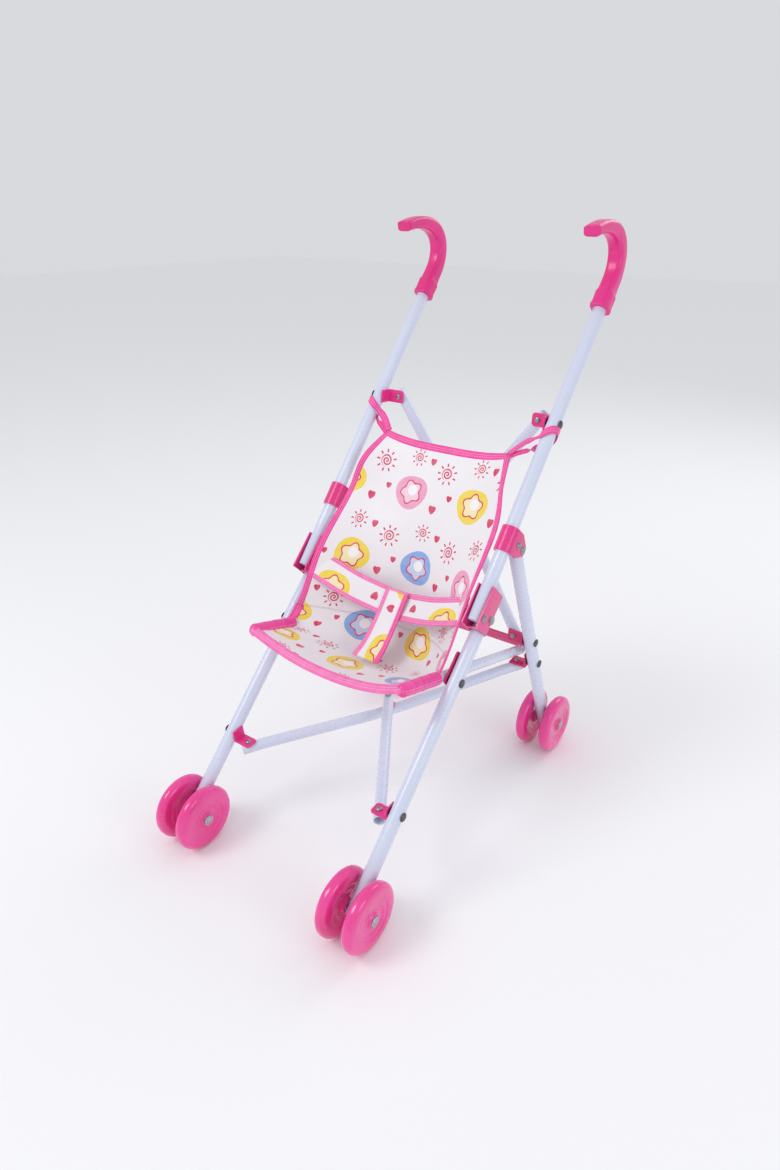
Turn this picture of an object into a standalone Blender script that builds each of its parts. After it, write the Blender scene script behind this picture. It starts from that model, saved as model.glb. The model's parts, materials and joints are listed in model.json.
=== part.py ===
"""Doll stroller with a folding umbrella frame of steel tube.

The frame is two side frames joined by two crosses of tube, one behind the backrest and one
under the seat. Each side frame is a handle tube, a front leg that turns in a knee bracket at
the handle's lower end, a rear leg that hangs from a collar sliding on the handle tube, and a
seat rail. Metres, +Z up, the stroller faces -Y and its left side is +X.
"""

import math

import bmesh
import bpy
from mathutils import Matrix, Vector

# Overall stance
HALF_TRACK = 0.1010  # centre plane to each side frame
KNEE_Y = -0.0138  # knee pivot, from the middle of the stroller's length
KNEE_HEIGHT = 0.2350
HANDLE_LEAN = 40.0  # degrees from the vertical, all three
FRONT_LEG_LEAN = 44.4
REAR_LEG_LEAN = 22.3

# Tubes
FRAME_TUBE_R = 0.0065
CROSS_TUBE_R = 0.0055
RAIL_TUBE_R = 0.0050
TUBE_WALL = 0.0010
LEG_SIDES = 20
CROSS_SIDES = 12

# Fits
GAP = 0.0003  # between pieces that touch
PLATE = 0.0016  # thickness of moulded walls and ears
RIVET_R = 0.0015
RIVET_HEAD_R = 0.0034
RIVET_HEAD = 0.0014

# Handle and grip
HANDLE_LENGTH = 0.3350  # knee pivot to the tube's upper end
HANDLE_FOOT = 0.0045  # tube that stands below the knee pivot
GRIP_START = 0.3140  # knee pivot to the grip's sleeve
GRIP_SLEEVE = 0.0300
GRIP_SECTION = 0.0152
GRIP_FLARE = 0.0185
GRIP_TIP = 0.0095  # thickness at the hook's end
GRIP_HOOK = ((0.021, 0.025), (0.005, 0.060), (-0.055, 0.046))  # the hook's curve, as (back, rise) from the sleeve
GRIP_STEPS = 10
GRIP_SCREW_AT = 0.0120  # from the sleeve's end

# Knee bracket
LEG_OFFSET = 0.0150  # front leg axis behind the handle axis
KNEE_TOP = 0.0290
KNEE_BOTTOM = 0.0105
LEG_TOP = 0.0260

# Collar and rear leg
COLLAR_AT = 0.0750  # knee pivot to the rear leg's pivot, along the handle
COLLAR_REAR = 0.0207  # and behind the handle axis
COLLAR_HALF = 0.0120
COLLAR_POST_R = 0.0016
REAR_LEG_HEAD = 0.0070  # tube above the collar pivot

# Places along the legs, from the knee pivot or the collar pivot
RAIL_PIVOT_AT = 0.0590
FRONT_EAR_AT = 0.1845
RAIL_SEAT_AT = 0.1510
BACK_CROSS_FOOT_AT = 0.1315
BASE_CROSS_FOOT_AT = 0.1650
BRACE_AT = 0.1590
UPPER_EAR_AT = 0.1930  # along the handle

# Crosses
EAR_INSET = 0.0200  # cross pivots inboard of the side frame
EAR_MARGIN = 0.0060
EAR_HALF = 0.0065
CROSS_OVERHANG = 0.0070  # tube beyond its pivot
CROSS_BOW = 0.0072  # each tube bows this far off the plane where the two pass
BACK_TOP_OFFSET = 0.0140  # cross tube axis off the brackets' own pivots
BACK_FOOT_OFFSET = 0.0070
BASE_OFFSET = -0.0125
SPACER_R = 0.0058

# Seat rail
RAIL_INSET = 0.0140
RAIL_FRONT = 0.0660  # rail in front of its pivot
RAIL_BEHIND = 0.0010

# Brace
BRACE_INSET = 0.0130
BRACE_HEIGHT = 0.0140
BRACE_PLATE = 0.0020
BRACE_BEHIND = 0.0132
BRACE_LAP = 0.0070

# Wheels
WHEEL_R = 0.0320
WHEEL_SIDES = 24
WHEEL_HALF = 0.0070
WHEEL_INSET = 0.0142  # middle of each wheel from the leg axis
AXLE_R = 0.0020
AXLE_CLEARANCE = 0.0004
CAP_R = 0.0052
LEG_FOOT = 0.0060  # tube below the axle

# Fabric
SLING_HALF = 0.0780
SLING_THICK = 0.0030
STRAP_THICK = 0.0016
STRAP_WIDTH = 0.0240
BELT_SAG = (0.014, -0.026)  # how far the belt's middle lies behind and above its ends
CROTCH_ROUTE = ((0.0035, -0.038), (-0.008, -0.050), (-0.020, -0.060), (-0.033, -0.0665))  # from the knee
LOOP_AT = 0.1700  # along the handle
LOOP_HALF = 0.0070

PINK = ((0.84, 0.045, 0.29), 0.28, 0.0)
DEEP_PINK = ((0.62, 0.03, 0.20), 0.35, 0.0)
WHITE_PAINT = ((0.88, 0.89, 0.94), 0.3, 0.0)
STEEL = ((0.55, 0.56, 0.58), 0.3, 1.0)
FABRIC = ((0.93, 0.90, 0.93), 0.7, 0.0)

LATERAL = Vector((1.0, 0.0, 0.0))
SIDES = {"left": 1.0, "right": -1.0}


class Member:
    """A straight member in a side plane: a start point and the direction it runs in."""

    def __init__(self, y, z, angle):
        """angle is the direction of travel in degrees, from +Y towards +Z."""
        self.start = Vector((0.0, y, z))
        turn = math.radians(angle)
        self.run = Vector((0.0, math.cos(turn), math.sin(turn)))
        self.normal = Vector((0.0, math.sin(turn), -math.cos(turn)))

    def at(self, side, run=0.0, off=0.0, out=0.0):
        """A point at a distance along, off along the normal, and outboard of the side plane."""
        point = self.start + self.run * run + self.normal * off
        point.x = SIDES[side] * (HALF_TRACK + out)
        return point


def member_between(a, b, offset_a=0.0, offset_b=0.0):
    """The member between two points of a side plane, moved off the line by an offset at each end."""
    dy, dz = b.y - a.y, b.z - a.z
    span = math.hypot(dy, dz)
    base = math.atan2(dz, dy)
    tilt = -math.asin((offset_b - offset_a) / span)
    line = Member(a.y, a.z, math.degrees(base + tilt))
    line.start += line.normal * offset_a
    line.length = math.sqrt(span**2 - (offset_b - offset_a) ** 2)
    return line


HANDLE = Member(KNEE_Y, KNEE_HEIGHT, 90.0 - HANDLE_LEAN)
FRONT_UP = Member(KNEE_Y, KNEE_HEIGHT, 90.0 - FRONT_LEG_LEAN)
FRONT_UP.start += FRONT_UP.normal * LEG_OFFSET
FRONT_REACH = (FRONT_UP.start.z - WHEEL_R) / FRONT_UP.run.z
COLLAR_PIVOT = HANDLE.at("left", COLLAR_AT, COLLAR_REAR)
REAR_UP = Member(COLLAR_PIVOT.y, COLLAR_PIVOT.z, 90.0 + REAR_LEG_LEAN)
REAR_REACH = (COLLAR_PIVOT.z - WHEEL_R) / REAR_UP.run.z


def clear_scene():
    for obj in list(bpy.data.objects):
        bpy.data.objects.remove(obj, do_unlink=True)


def finish_of(look):
    """The material of a look, made once: colour, roughness and metallic value."""
    name = "look_%02d%02d%02d" % tuple(int(99 * c) for c in look[0])
    made = bpy.data.materials.get(name)
    if made:
        return made
    made = bpy.data.materials.new(name)
    made.use_nodes = True
    shader = made.node_tree.nodes["Principled BSDF"]
    shader.inputs["Base Color"].default_value = (*look[0], 1.0)
    shader.inputs["Roughness"].default_value = look[1]
    shader.inputs["Metallic"].default_value = look[2]
    return made


def add_piece(name, bm, look, origin, cutter=False):
    """A named object with its origin at a point, such as its joint's axis."""
    bmesh.ops.recalc_face_normals(bm, faces=bm.faces)
    bm.transform(Matrix.Translation(-origin))
    mesh = bpy.data.meshes.new(name)
    bm.to_mesh(mesh)
    bm.free()
    obj = bpy.data.objects.new(name, mesh)
    bpy.context.scene.collection.objects.link(obj)
    obj.location = origin
    if cutter:
        obj.hide_render = True
        obj.display_type = "WIRE"
        return obj
    mesh.shade_smooth()
    mesh.set_sharp_from_angle(angle=math.radians(35))
    mesh.materials.append(finish_of(look))
    return obj


def combine(obj, tool_mesh, operation, label):
    """A Boolean with a hidden tool: DIFFERENCE, UNION or INTERSECT."""
    tool = add_piece(f"{obj.name}_{label}", tool_mesh, None, Vector(), cutter=True)
    step = obj.modifiers.new(label, "BOOLEAN")
    step.operation = operation
    step.solver = "EXACT"
    step.object = tool
    return obj


def prism(outline, depth):
    """A polygon of points pushed along a vector."""
    bm = bmesh.new()
    face = bm.faces.new([bm.verts.new(p) for p in outline])
    pushed = bmesh.ops.extrude_face_region(bm, geom=[face])
    moved = [v for v in pushed["geom"] if isinstance(v, bmesh.types.BMVert)]
    bmesh.ops.translate(bm, verts=moved, vec=depth)
    return bm


def rounded(corners, radius, steps=3):
    """A flat outline with each corner turned into an arc of a radius."""
    points = []
    count = len(corners)
    for i, corner in enumerate(corners):
        here = Vector(corner)
        before = (Vector(corners[i - 1]) - here).normalized()
        after = (Vector(corners[(i + 1) % count]) - here).normalized()
        half = before.angle(after) / 2
        reach = radius / math.tan(half)
        centre = here + (before + after).normalized() * (radius / math.sin(half))
        start = here + before * reach - centre
        end = here + after * reach - centre
        for k in range(steps + 1):
            mix = start.lerp(end, k / steps)
            points.append(centre + mix.normalized() * radius)
    return points


def ring_points(centre, direction, radius, sides):
    """A ring square to a direction, its first point in the lateral plane."""
    second = direction.cross(LATERAL)
    first = LATERAL if second.length < 1e-6 else second.cross(direction).normalized()
    if second.length < 1e-6:
        first = Vector((0.0, 1.0, 0.0))
    second = direction.cross(first).normalized()
    turns = [2 * math.pi * k / sides for k in range(sides)]
    return [centre + first * (radius * math.cos(t)) + second * (radius * math.sin(t)) for t in turns]


def directions_of(path):
    """The travel direction at each point of a path, square to the bisector at its bends."""
    runs = [(b - a).normalized() for a, b in zip(path, path[1:])]
    inner = [(a + b).normalized() for a, b in zip(runs, runs[1:])]
    return [runs[0], *inner, runs[-1]]


def skin(bm, rings, closed):
    """Faces between following rings, and from the last ring to the first on a closed form."""
    pairs = list(zip(rings, rings[1:]))
    if closed:
        pairs.append((rings[-1], rings[0]))
    for low, high in pairs:
        count = max(len(low), len(high))
        for k in range(count):
            quad = [low[k % len(low)], low[(k + 1) % len(low)], high[(k + 1) % len(high)], high[k % len(high)]]
            bm.faces.new(list(dict.fromkeys(quad)))


def pipe(path, outer, inner, sides):
    """An open-ended tube along a path."""
    bm = bmesh.new()
    runs = directions_of(path)
    rings = [[bm.verts.new(p) for p in ring_points(c, d, outer, sides)] for c, d in zip(path, runs)]
    bore = [[bm.verts.new(p) for p in ring_points(c, d, inner, sides)] for c, d in zip(path, runs)]
    skin(bm, rings + bore[::-1], closed=True)
    return bm


def turned(centre, axis, profile, sides):
    """A profile of (distance along the axis, radius) spun round; a closed loop if no radius is 0."""
    bm = bmesh.new()
    rings = []
    for run, radius in profile:
        if radius == 0:
            rings.append([bm.verts.new(centre + axis * run)])
        else:
            ring = ring_points(centre + axis * run, axis, radius, sides)
            rings.append([bm.verts.new(p) for p in ring])
    skin(bm, rings, closed=all(radius > 0 for _, radius in profile))
    return bm


def rod(a, b, radius, sides=12):
    length = (b - a).length
    return turned(a, (b - a).normalized(), [(0, 0), (0, radius), (length, radius), (length, 0)], sides)


def slab(member, side, outline, out_low, out_high):
    """An outline of (run, off) in a side plane, as thick as the space between two outboard distances."""
    points = [member.at(side, run, off, out_low) for run, off in outline]
    return prism(points, LATERAL * (SIDES[side] * (out_high - out_low)))


def channel(member, side, outline, run_low, run_high):
    """An outline of (out, off) square to a member, pushed along it."""
    points = [member.at(side, run_low, off, out) for out, off in outline]
    return prism(points, member.run * (run_high - run_low))


def rivet(point, side, half_span, sides=12):
    """A rivet across the side plane, domed at both ends."""
    axis = LATERAL * SIDES[side]
    face = half_span + GAP
    head = [(face, RIVET_R), (face, RIVET_HEAD_R), (face + 0.6 * RIVET_HEAD, 0.85 * RIVET_HEAD_R)]
    head.append((face + RIVET_HEAD, 0.4 * RIVET_HEAD_R))
    tip = (face + RIVET_HEAD, 0)
    mirrored = [(-run, radius) for run, radius in [tip, *head[::-1]]]
    return turned(point, axis, [*mirrored, *head, tip], sides)


def drill(obj, point, half_length, radius=RIVET_R + GAP, axis=LATERAL, label="drill"):
    return combine(obj, rod(point - axis * half_length, point + axis * half_length, radius), "DIFFERENCE", label)


def add_handle(side):
    foot = HANDLE.at(side, -HANDLE_FOOT)
    top = HANDLE.at(side, HANDLE_LENGTH)
    tube = pipe([foot, top], FRAME_TUBE_R, FRAME_TUBE_R - TUBE_WALL, LEG_SIDES)
    tube = add_piece(f"handle_tube_{side}", tube, WHITE_PAINT, HANDLE.at(side))
    drill(tube, HANDLE.at(side), 2 * FRAME_TUBE_R, label="knee_hole")
    screw_at = HANDLE.at(side, GRIP_START + GRIP_SCREW_AT, FRAME_TUBE_R)
    drill(tube, screw_at, 0.6 * FRAME_TUBE_R, axis=HANDLE.normal, label="screw_hole")


def grip_line(side):
    """The grip's middle line: straight up the tube, then a hook curling forwards."""
    straight = [GRIP_START, GRIP_START + 0.5 * GRIP_SLEEVE, GRIP_START + GRIP_SLEEVE]
    points = [HANDLE.at(side, run) for run in straight]
    knots = [HANDLE.at(side, GRIP_START + GRIP_SLEEVE)]
    for back, rise in GRIP_HOOK:
        knots.append(knots[0] + Vector((0.0, back, rise)))
    for k in range(1, GRIP_STEPS + 1):
        t = k / GRIP_STEPS
        weights = ((1 - t) ** 3, 3 * t * (1 - t) ** 2, 3 * t**2 * (1 - t), t**3)
        point = Vector()
        for weight, knot in zip(weights, knots):
            point += knot * weight
        points.append(point)
    return points


def add_grip(side):
    line = grip_line(side)
    runs = directions_of(line)
    bm = bmesh.new()
    rings = []
    taper_from = len(line) - GRIP_STEPS // 2
    for k, (centre, run) in enumerate(zip(line, runs)):
        half = (GRIP_FLARE if k == 0 else GRIP_SECTION) / 2
        share = max(0, k + 1 - taper_from) / (len(line) - taper_from)
        deep = half + (GRIP_TIP / 2 - half) * share
        up = run.cross(LATERAL).normalized()
        square = rounded([(-half, -deep), (half, -deep), (half, deep), (-half, deep)], 0.45 * deep, 2)
        rings.append([bm.verts.new(centre + LATERAL * p.x + up * p.y) for p in square])
    skin(bm, rings, closed=False)
    bm.faces.new(rings[0])
    bm.faces.new(rings[-1])
    grip = add_piece(f"grip_{side}", bm, PINK, HANDLE.at(side, GRIP_START))
    bore = rod(HANDLE.at(side, GRIP_START - 0.01), HANDLE.at(side, HANDLE_LENGTH + GAP), FRAME_TUBE_R + GAP, LEG_SIDES)
    combine(grip, bore, "DIFFERENCE", "bore")
    screw_at = HANDLE.at(side, GRIP_START + GRIP_SCREW_AT, 0.5 * GRIP_SECTION)
    drill(grip, screw_at, 0.3 * GRIP_SECTION, axis=HANDLE.normal, label="screw_hole")
    seat = 0.5 * GRIP_FLARE + GAP
    tip = FRAME_TUBE_R - 2 * TUBE_WALL
    profile = [(tip, 0), (tip, RIVET_R), (seat, RIVET_R), (seat, RIVET_HEAD_R)]
    profile += [(seat + RIVET_HEAD, 0.7 * RIVET_HEAD_R), (seat + RIVET_HEAD, 0)]
    screw = turned(HANDLE.at(side, GRIP_START + GRIP_SCREW_AT), HANDLE.normal, profile, 12)
    add_piece(f"grip_screw_{side}", screw, STEEL, screw_at)


def half_round(radius, back, steps=8):
    """A U outline of (out, off): a half circle round the front and straight walls back to a depth."""
    arc = [math.pi * k / steps for k in range(steps + 1)]
    front = [(radius * math.cos(t), -radius * math.sin(t)) for t in arc]
    return [(radius, back), *front, (-radius, back)]


def add_collar(side):
    inside = FRAME_TUBE_R + GAP
    outside = inside + PLATE + GAP
    ear_back = COLLAR_REAR + FRAME_TUBE_R
    outer = half_round(outside, ear_back)
    inner = half_round(inside, ear_back)[::-1]
    bm = channel(HANDLE, side, outer + inner, COLLAR_AT - COLLAR_HALF, COLLAR_AT + COLLAR_HALF)
    collar = add_piece(f"collar_{side}", bm, PINK, HANDLE.at(side, COLLAR_AT))
    ear = 0.0066
    low, high = COLLAR_AT - COLLAR_HALF, COLLAR_AT + COLLAR_HALF
    shape = [(low - 0.001, -0.012), (low - 0.001, 0.009)]
    for k in range(7):
        turn = math.radians(-80 + 160 * k / 6)
        shape.append((COLLAR_AT + ear * math.sin(turn), COLLAR_REAR + ear * math.cos(turn) - GAP))
    shape += [(high + 0.001, 0.009), (high + 0.001, -0.012)]
    combine(collar, slab(HANDLE, side, shape, -2 * outside, 2 * outside), "INTERSECT", "ear_shape")
    post_off = FRAME_TUBE_R + GAP + COLLAR_POST_R
    post = rod(HANDLE.at(side, COLLAR_AT, post_off, -outside + GAP), HANDLE.at(side, COLLAR_AT, post_off, outside - GAP), COLLAR_POST_R)
    combine(collar, post, "UNION", "post")
    pivot = HANDLE.at(side, COLLAR_AT, COLLAR_REAR)
    drill(collar, pivot, 2 * outside, label="pivot_hole")
    add_piece(f"collar_pivot_{side}", rivet(pivot, side, outside), STEEL, pivot)


def add_knee(side):
    inside = FRAME_TUBE_R + GAP
    outside = inside + PLATE
    front = -LEG_OFFSET - inside
    outer = [(out, -off) for out, off in half_round(outside, -front)]
    inner = [(out, -off) for out, off in half_round(inside, -front)][::-1]
    bm = channel(FRONT_UP, side, outer + inner, -KNEE_BOTTOM, KNEE_TOP)
    bracket = add_piece(f"knee_bracket_{side}", bm, PINK, HANDLE.at(side))
    low, high = GAP - KNEE_BOTTOM, GAP + PLATE - KNEE_BOTTOM
    near, far = -inside - GAP, HANDLE_FOOT - LEG_OFFSET
    lip = slab(FRONT_UP, side, [(low, far), (low, near), (high, near), (high, far)], near, -near)
    combine(bracket, lip, "UNION", "lip")
    pivot = HANDLE.at(side)
    drill(bracket, pivot, 2 * outside, label="pivot_hole")
    add_piece(f"knee_pivot_{side}", rivet(pivot, side, outside), STEEL, pivot)
    top = FRONT_UP.at(side, LEG_TOP)
    hub = FRONT_UP.at(side, -FRONT_REACH)
    foot = FRONT_UP.at(side, -FRONT_REACH - LEG_FOOT)
    leg = pipe([top, foot], FRAME_TUBE_R, FRAME_TUBE_R - TUBE_WALL, LEG_SIDES)
    leg = add_piece(f"front_leg_{side}", leg, WHITE_PAINT, pivot)
    drill(leg, hub, 2 * FRAME_TUBE_R, AXLE_R + AXLE_CLEARANCE, label="axle_hole")
    clip = rounded([(-0.026, -0.006), (0.006, -0.006), (0.006, 0.006), (-0.026, 0.006)], 0.003)
    clip = [(-RAIL_PIVOT_AT - run, off) for run, off in clip]
    inner_face = -FRAME_TUBE_R - GAP
    bm = slab(FRONT_UP, side, clip, inner_face - PLATE, inner_face)
    add_piece(f"rail_clip_{side}", bm, DEEP_PINK, FRONT_UP.at(side, -RAIL_PIVOT_AT))


def add_rear_leg(side):
    pivot = REAR_UP.at(side)
    head = REAR_UP.at(side, REAR_LEG_HEAD)
    hub = REAR_UP.at(side, -REAR_REACH)
    foot = REAR_UP.at(side, -REAR_REACH - LEG_FOOT)
    leg = pipe([head, foot], FRAME_TUBE_R, FRAME_TUBE_R - TUBE_WALL, LEG_SIDES)
    leg = add_piece(f"rear_leg_{side}", leg, WHITE_PAINT, pivot)
    drill(leg, pivot, 2 * FRAME_TUBE_R, label="pivot_hole")
    drill(leg, hub, 2 * FRAME_TUBE_R, AXLE_R + AXLE_CLEARANCE, label="axle_hole")


def rail_member():
    front = FRONT_UP.at("left", -RAIL_PIVOT_AT)
    rear = REAR_UP.at("left", -RAIL_SEAT_AT)
    return member_between(front, rear)


def add_seat_rail(side):
    rail = rail_member()
    path = [rail.at(side, -RAIL_FRONT, 0, -RAIL_INSET), rail.at(side, rail.length + RAIL_BEHIND, 0, -RAIL_INSET)]
    bm = pipe(path, RAIL_TUBE_R, RAIL_TUBE_R - TUBE_WALL, CROSS_SIDES)
    add_piece(f"seat_rail_{side}", bm, WHITE_PAINT, rail.at(side, 0, 0, -RAIL_INSET))


def back_plane():
    """The line of the rear cross, from the upper brackets down to the rear legs."""
    top = HANDLE.at("left", UPPER_EAR_AT)
    foot = REAR_UP.at("left", -BACK_CROSS_FOOT_AT)
    return member_between(top, foot, -BACK_TOP_OFFSET, -BACK_FOOT_OFFSET)


def base_plane():
    """The line of the seat's cross, from the front legs back to the rear legs."""
    front = FRONT_UP.at("left", -FRONT_EAR_AT)
    rear = REAR_UP.at("left", -BASE_CROSS_FOOT_AT)
    return member_between(front, rear, -BASE_OFFSET, -BASE_OFFSET)


def add_ear(name, side, pivot, plane, run, plate_reach, ear_side):
    """An L-shaped bracket: a plate on the tube's inner face and an ear beside the cross tube's end."""
    ear_low = CROSS_TUBE_R + GAP
    ear_high = ear_low + PLATE
    face = -FRAME_TUBE_R - GAP
    tip = -EAR_INSET - EAR_MARGIN
    reach = plane.normal.dot(pivot - plane.at(side, run)) * ear_side
    far = reach + plate_reach
    near = min(ear_low, reach - plate_reach)
    outline = [(face, far), (face, near), (face - PLATE, near)]
    if near < ear_low:
        outline.append((face - PLATE, ear_low))
    outline += [(tip, ear_low), (tip, ear_high), (face - PLATE, ear_high), (face - PLATE, far)]
    outline = [(out, off * ear_side) for out, off in outline]
    bm = channel(plane, side, outline, run - EAR_HALF, run + EAR_HALF)
    return add_piece(name, bm, PINK, pivot)


def cross_path(plane, side, bow):
    """A cross tube's path from one side's upper end to the other side's lower end, bowed where they pass."""
    other = "right" if side == "left" else "left"
    start = plane.at(side, 0, 0, -EAR_INSET)
    end = plane.at(other, plane.length, 0, -EAR_INSET)
    run = (end - start).normalized()
    middle = start.lerp(end, 0.5)
    lift = plane.normal * bow
    inner = [middle + lift + run * (CROSS_TUBE_R * k) for k in (-3, 3)]
    straight = run * (EAR_HALF + CROSS_OVERHANG)
    return [start - run * CROSS_OVERHANG, start + straight, *inner, end - straight, end + run * CROSS_OVERHANG]


def add_cross(name, plane, side, upper, bow):
    bm = pipe(cross_path(plane, side, bow), CROSS_TUBE_R, CROSS_TUBE_R - TUBE_WALL, CROSS_SIDES)
    tube = add_piece(f"{name}_{side}", bm, WHITE_PAINT, plane.at(side, 0, 0, -EAR_INSET))
    if upper:
        middle = plane.at(side, plane.length / 2, 0, -HALF_TRACK)
        drill(tube, middle, 4 * CROSS_BOW, axis=plane.normal, label="bolt_hole")


def add_crossing(name, plane, top_sign):
    """The spacer between two cross tubes, and the bolt down through the upper tube into it."""
    middle = plane.at("left", plane.length / 2, 0, -HALF_TRACK)
    axis = plane.normal * top_sign
    half = CROSS_BOW - CROSS_TUBE_R - GAP
    bore = RIVET_R + GAP
    loop = [(-half, bore), (-half, SPACER_R), (half, SPACER_R), (half, bore)]
    add_piece(f"{name}_spacer", turned(middle, axis, loop, 16), PINK, middle)
    seat = CROSS_BOW + CROSS_TUBE_R + GAP
    profile = [(-half, 0), (-half, RIVET_R), (seat, RIVET_R), (seat, RIVET_HEAD_R), (seat + RIVET_HEAD, 0.7 * RIVET_HEAD_R), (seat + RIVET_HEAD, 0)]
    add_piece(f"{name}_bolt", turned(middle, axis, profile, 12), STEEL, middle)


def add_crosses():
    back, base = back_plane(), base_plane()
    for side in SIDES:
        lower = side == "right"
        add_ear(f"upper_bracket_{side}", side, HANDLE.at(side, UPPER_EAR_AT), back, 0, 0.0055, 1)
        add_ear(f"rear_upper_bracket_{side}", side, REAR_UP.at(side, -BACK_CROSS_FOOT_AT), back, back.length, 0.0055, 1)
        add_ear(f"front_bracket_{side}", side, FRONT_UP.at(side, -FRONT_EAR_AT), base, 0, 0.0055, -1)
        foot = add_ear(f"rear_lower_bracket_{side}", side, REAR_UP.at(side, -BASE_CROSS_FOOT_AT), base, base.length, 0.0055, -1)
        combine(foot, brace_ear(side), "UNION", "brace_ear")
        add_cross("back_cross_tube", back, side, not lower, CROSS_BOW if not lower else -CROSS_BOW)
        add_cross("base_cross_tube", base, side, not lower, -CROSS_BOW if not lower else CROSS_BOW)
    add_crossing("back_cross", back, 1)
    add_crossing("base_cross", base, -1)


def brace_depth(side):
    """How far behind the rear leg's axis a brace half's front face lies."""
    return BRACE_BEHIND if side == "left" else BRACE_BEHIND + BRACE_PLATE + 2 * GAP


def brace_ear(side):
    """The part of the rear lower bracket that reaches behind the leg to the brace."""
    out = -FRAME_TUBE_R - 2 * GAP
    inner = out - PLATE + 2 * GAP
    back = brace_depth(side) - GAP
    tip = -BRACE_INSET - 0.006
    outline = [(out, -0.0035), (out, back), (tip, back), (tip, back - PLATE), (inner, back - PLATE), (inner, -0.0035)]
    return channel(REAR_UP, side, outline, -BRACE_AT - 0.0055, -BRACE_AT + 0.0055)


def add_brace(side):
    """Half of the folding brace behind the rear legs."""
    near = brace_depth(side)
    pivot = REAR_UP.at(side, -BRACE_AT, near, -BRACE_INSET)
    half = BRACE_HEIGHT / 2
    start, end = half - BRACE_INSET, -HALF_TRACK - BRACE_LAP
    corners = [(start, -half), (start, half), (end, half), (end, -half)]
    if side == "left":
        corners = [*corners[:3], (end, -half - 0.003), (end + 0.030, -half - 0.003), (end + 0.036, -half)]
    points = [REAR_UP.at(side, -BRACE_AT + p[1], near, p[0]) for p in rounded([(*c, 0.0) for c in corners], 0.0028, 2)]
    bar = add_piece(f"brace_half_{side}", prism(points, REAR_UP.normal * BRACE_PLATE), DEEP_PINK, pivot)
    if side == "left":
        middle = REAR_UP.at("left", -BRACE_AT, near, -HALF_TRACK)
        drill(bar, middle, 3 * BRACE_PLATE, axis=REAR_UP.normal, label="rivet_hole")
        head = [(-GAP - RIVET_HEAD, 0), (-GAP - RIVET_HEAD, 0.7 * RIVET_HEAD_R), (-GAP, RIVET_HEAD_R), (-GAP, RIVET_R)]
        tip = BRACE_PLATE + GAP
        add_piece("brace_rivet", turned(middle, REAR_UP.normal, [*head, (tip, RIVET_R), (tip, 0)], 12), STEEL, middle)


def wheel_profile():
    """The wheel from its inner face to its outer face: hub, stepped web and rounded rim.

    The rim's corners stand a little beyond WHEEL_R, so that its flats roll on the floor."""
    bore = AXLE_R + AXLE_CLEARANCE
    hub = WHEEL_HALF
    face = [(hub, bore), (hub, 0.25 * WHEEL_R), (0.72 * hub, 0.34 * WHEEL_R), (0.72 * hub, 0.66 * WHEEL_R)]
    rim = WHEEL_R / math.cos(math.pi / WHEEL_SIDES)
    face += [(0.95 * hub, 0.78 * WHEEL_R), (0.7 * hub, 0.94 * WHEEL_R), (0.25 * hub, rim)]
    return [(-run, radius) for run, radius in face] + face[::-1]


def add_wheel_pair(end, side):
    hub = FRONT_UP.at(side, -FRONT_REACH) if end == "front" else REAR_UP.at(side, -REAR_REACH)
    outward = LATERAL * SIDES[side]
    for place, sign in (("outer", 1), ("inner", -1)):
        centre = hub + outward * (WHEEL_INSET * sign)
        bm = turned(centre, LATERAL, wheel_profile(), WHEEL_SIDES)
        half_step = Matrix.Rotation(math.pi / WHEEL_SIDES, 3, "X")
        bmesh.ops.rotate(bm, verts=bm.verts, cent=centre, matrix=half_step)
        add_piece(f"{end}_wheel_{side}_{place}", bm, PINK, centre)
    seat = WHEEL_INSET + WHEEL_HALF + GAP
    cap = [(seat, AXLE_R), (seat, CAP_R), (seat + 0.0009, 0.8 * CAP_R), (seat + 0.0015, 0)]
    profile = [(-run, radius) for run, radius in cap[::-1]] + cap
    add_piece(f"{end}_axle_{side}", turned(hub, outward, profile, 12), STEEL, hub)


def strip(centres, across, thick_axis, width, thick):
    """A flat strap through centre points, with a width direction and a thickness."""
    bm = bmesh.new()
    rings = []
    for centre in centres:
        corners = ((-0.5, -0.5), (0.5, -0.5), (0.5, 0.5), (-0.5, 0.5))
        rings.append([bm.verts.new(centre + across * (width * a) + thick_axis * (thick * b)) for a, b in corners])
    skin(bm, rings, closed=False)
    bm.faces.new(rings[0])
    bm.faces.new(rings[-1])
    return bm


def sling_line():
    """The sling's middle line from the top of the backrest to the front hem, as (behind, above) the knee."""
    offsets = ((0.094, 0.122), (0.067, 0.065), (0.044, 0.010), (0.030, -0.040), (0.020, -0.066))
    offsets += ((0.002, -0.077), (-0.030, -0.073), (-0.062, -0.064), (-0.090, -0.053))
    return [Vector((0.0, KNEE_Y + behind, KNEE_HEIGHT + above)) for behind, above in offsets]


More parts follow.
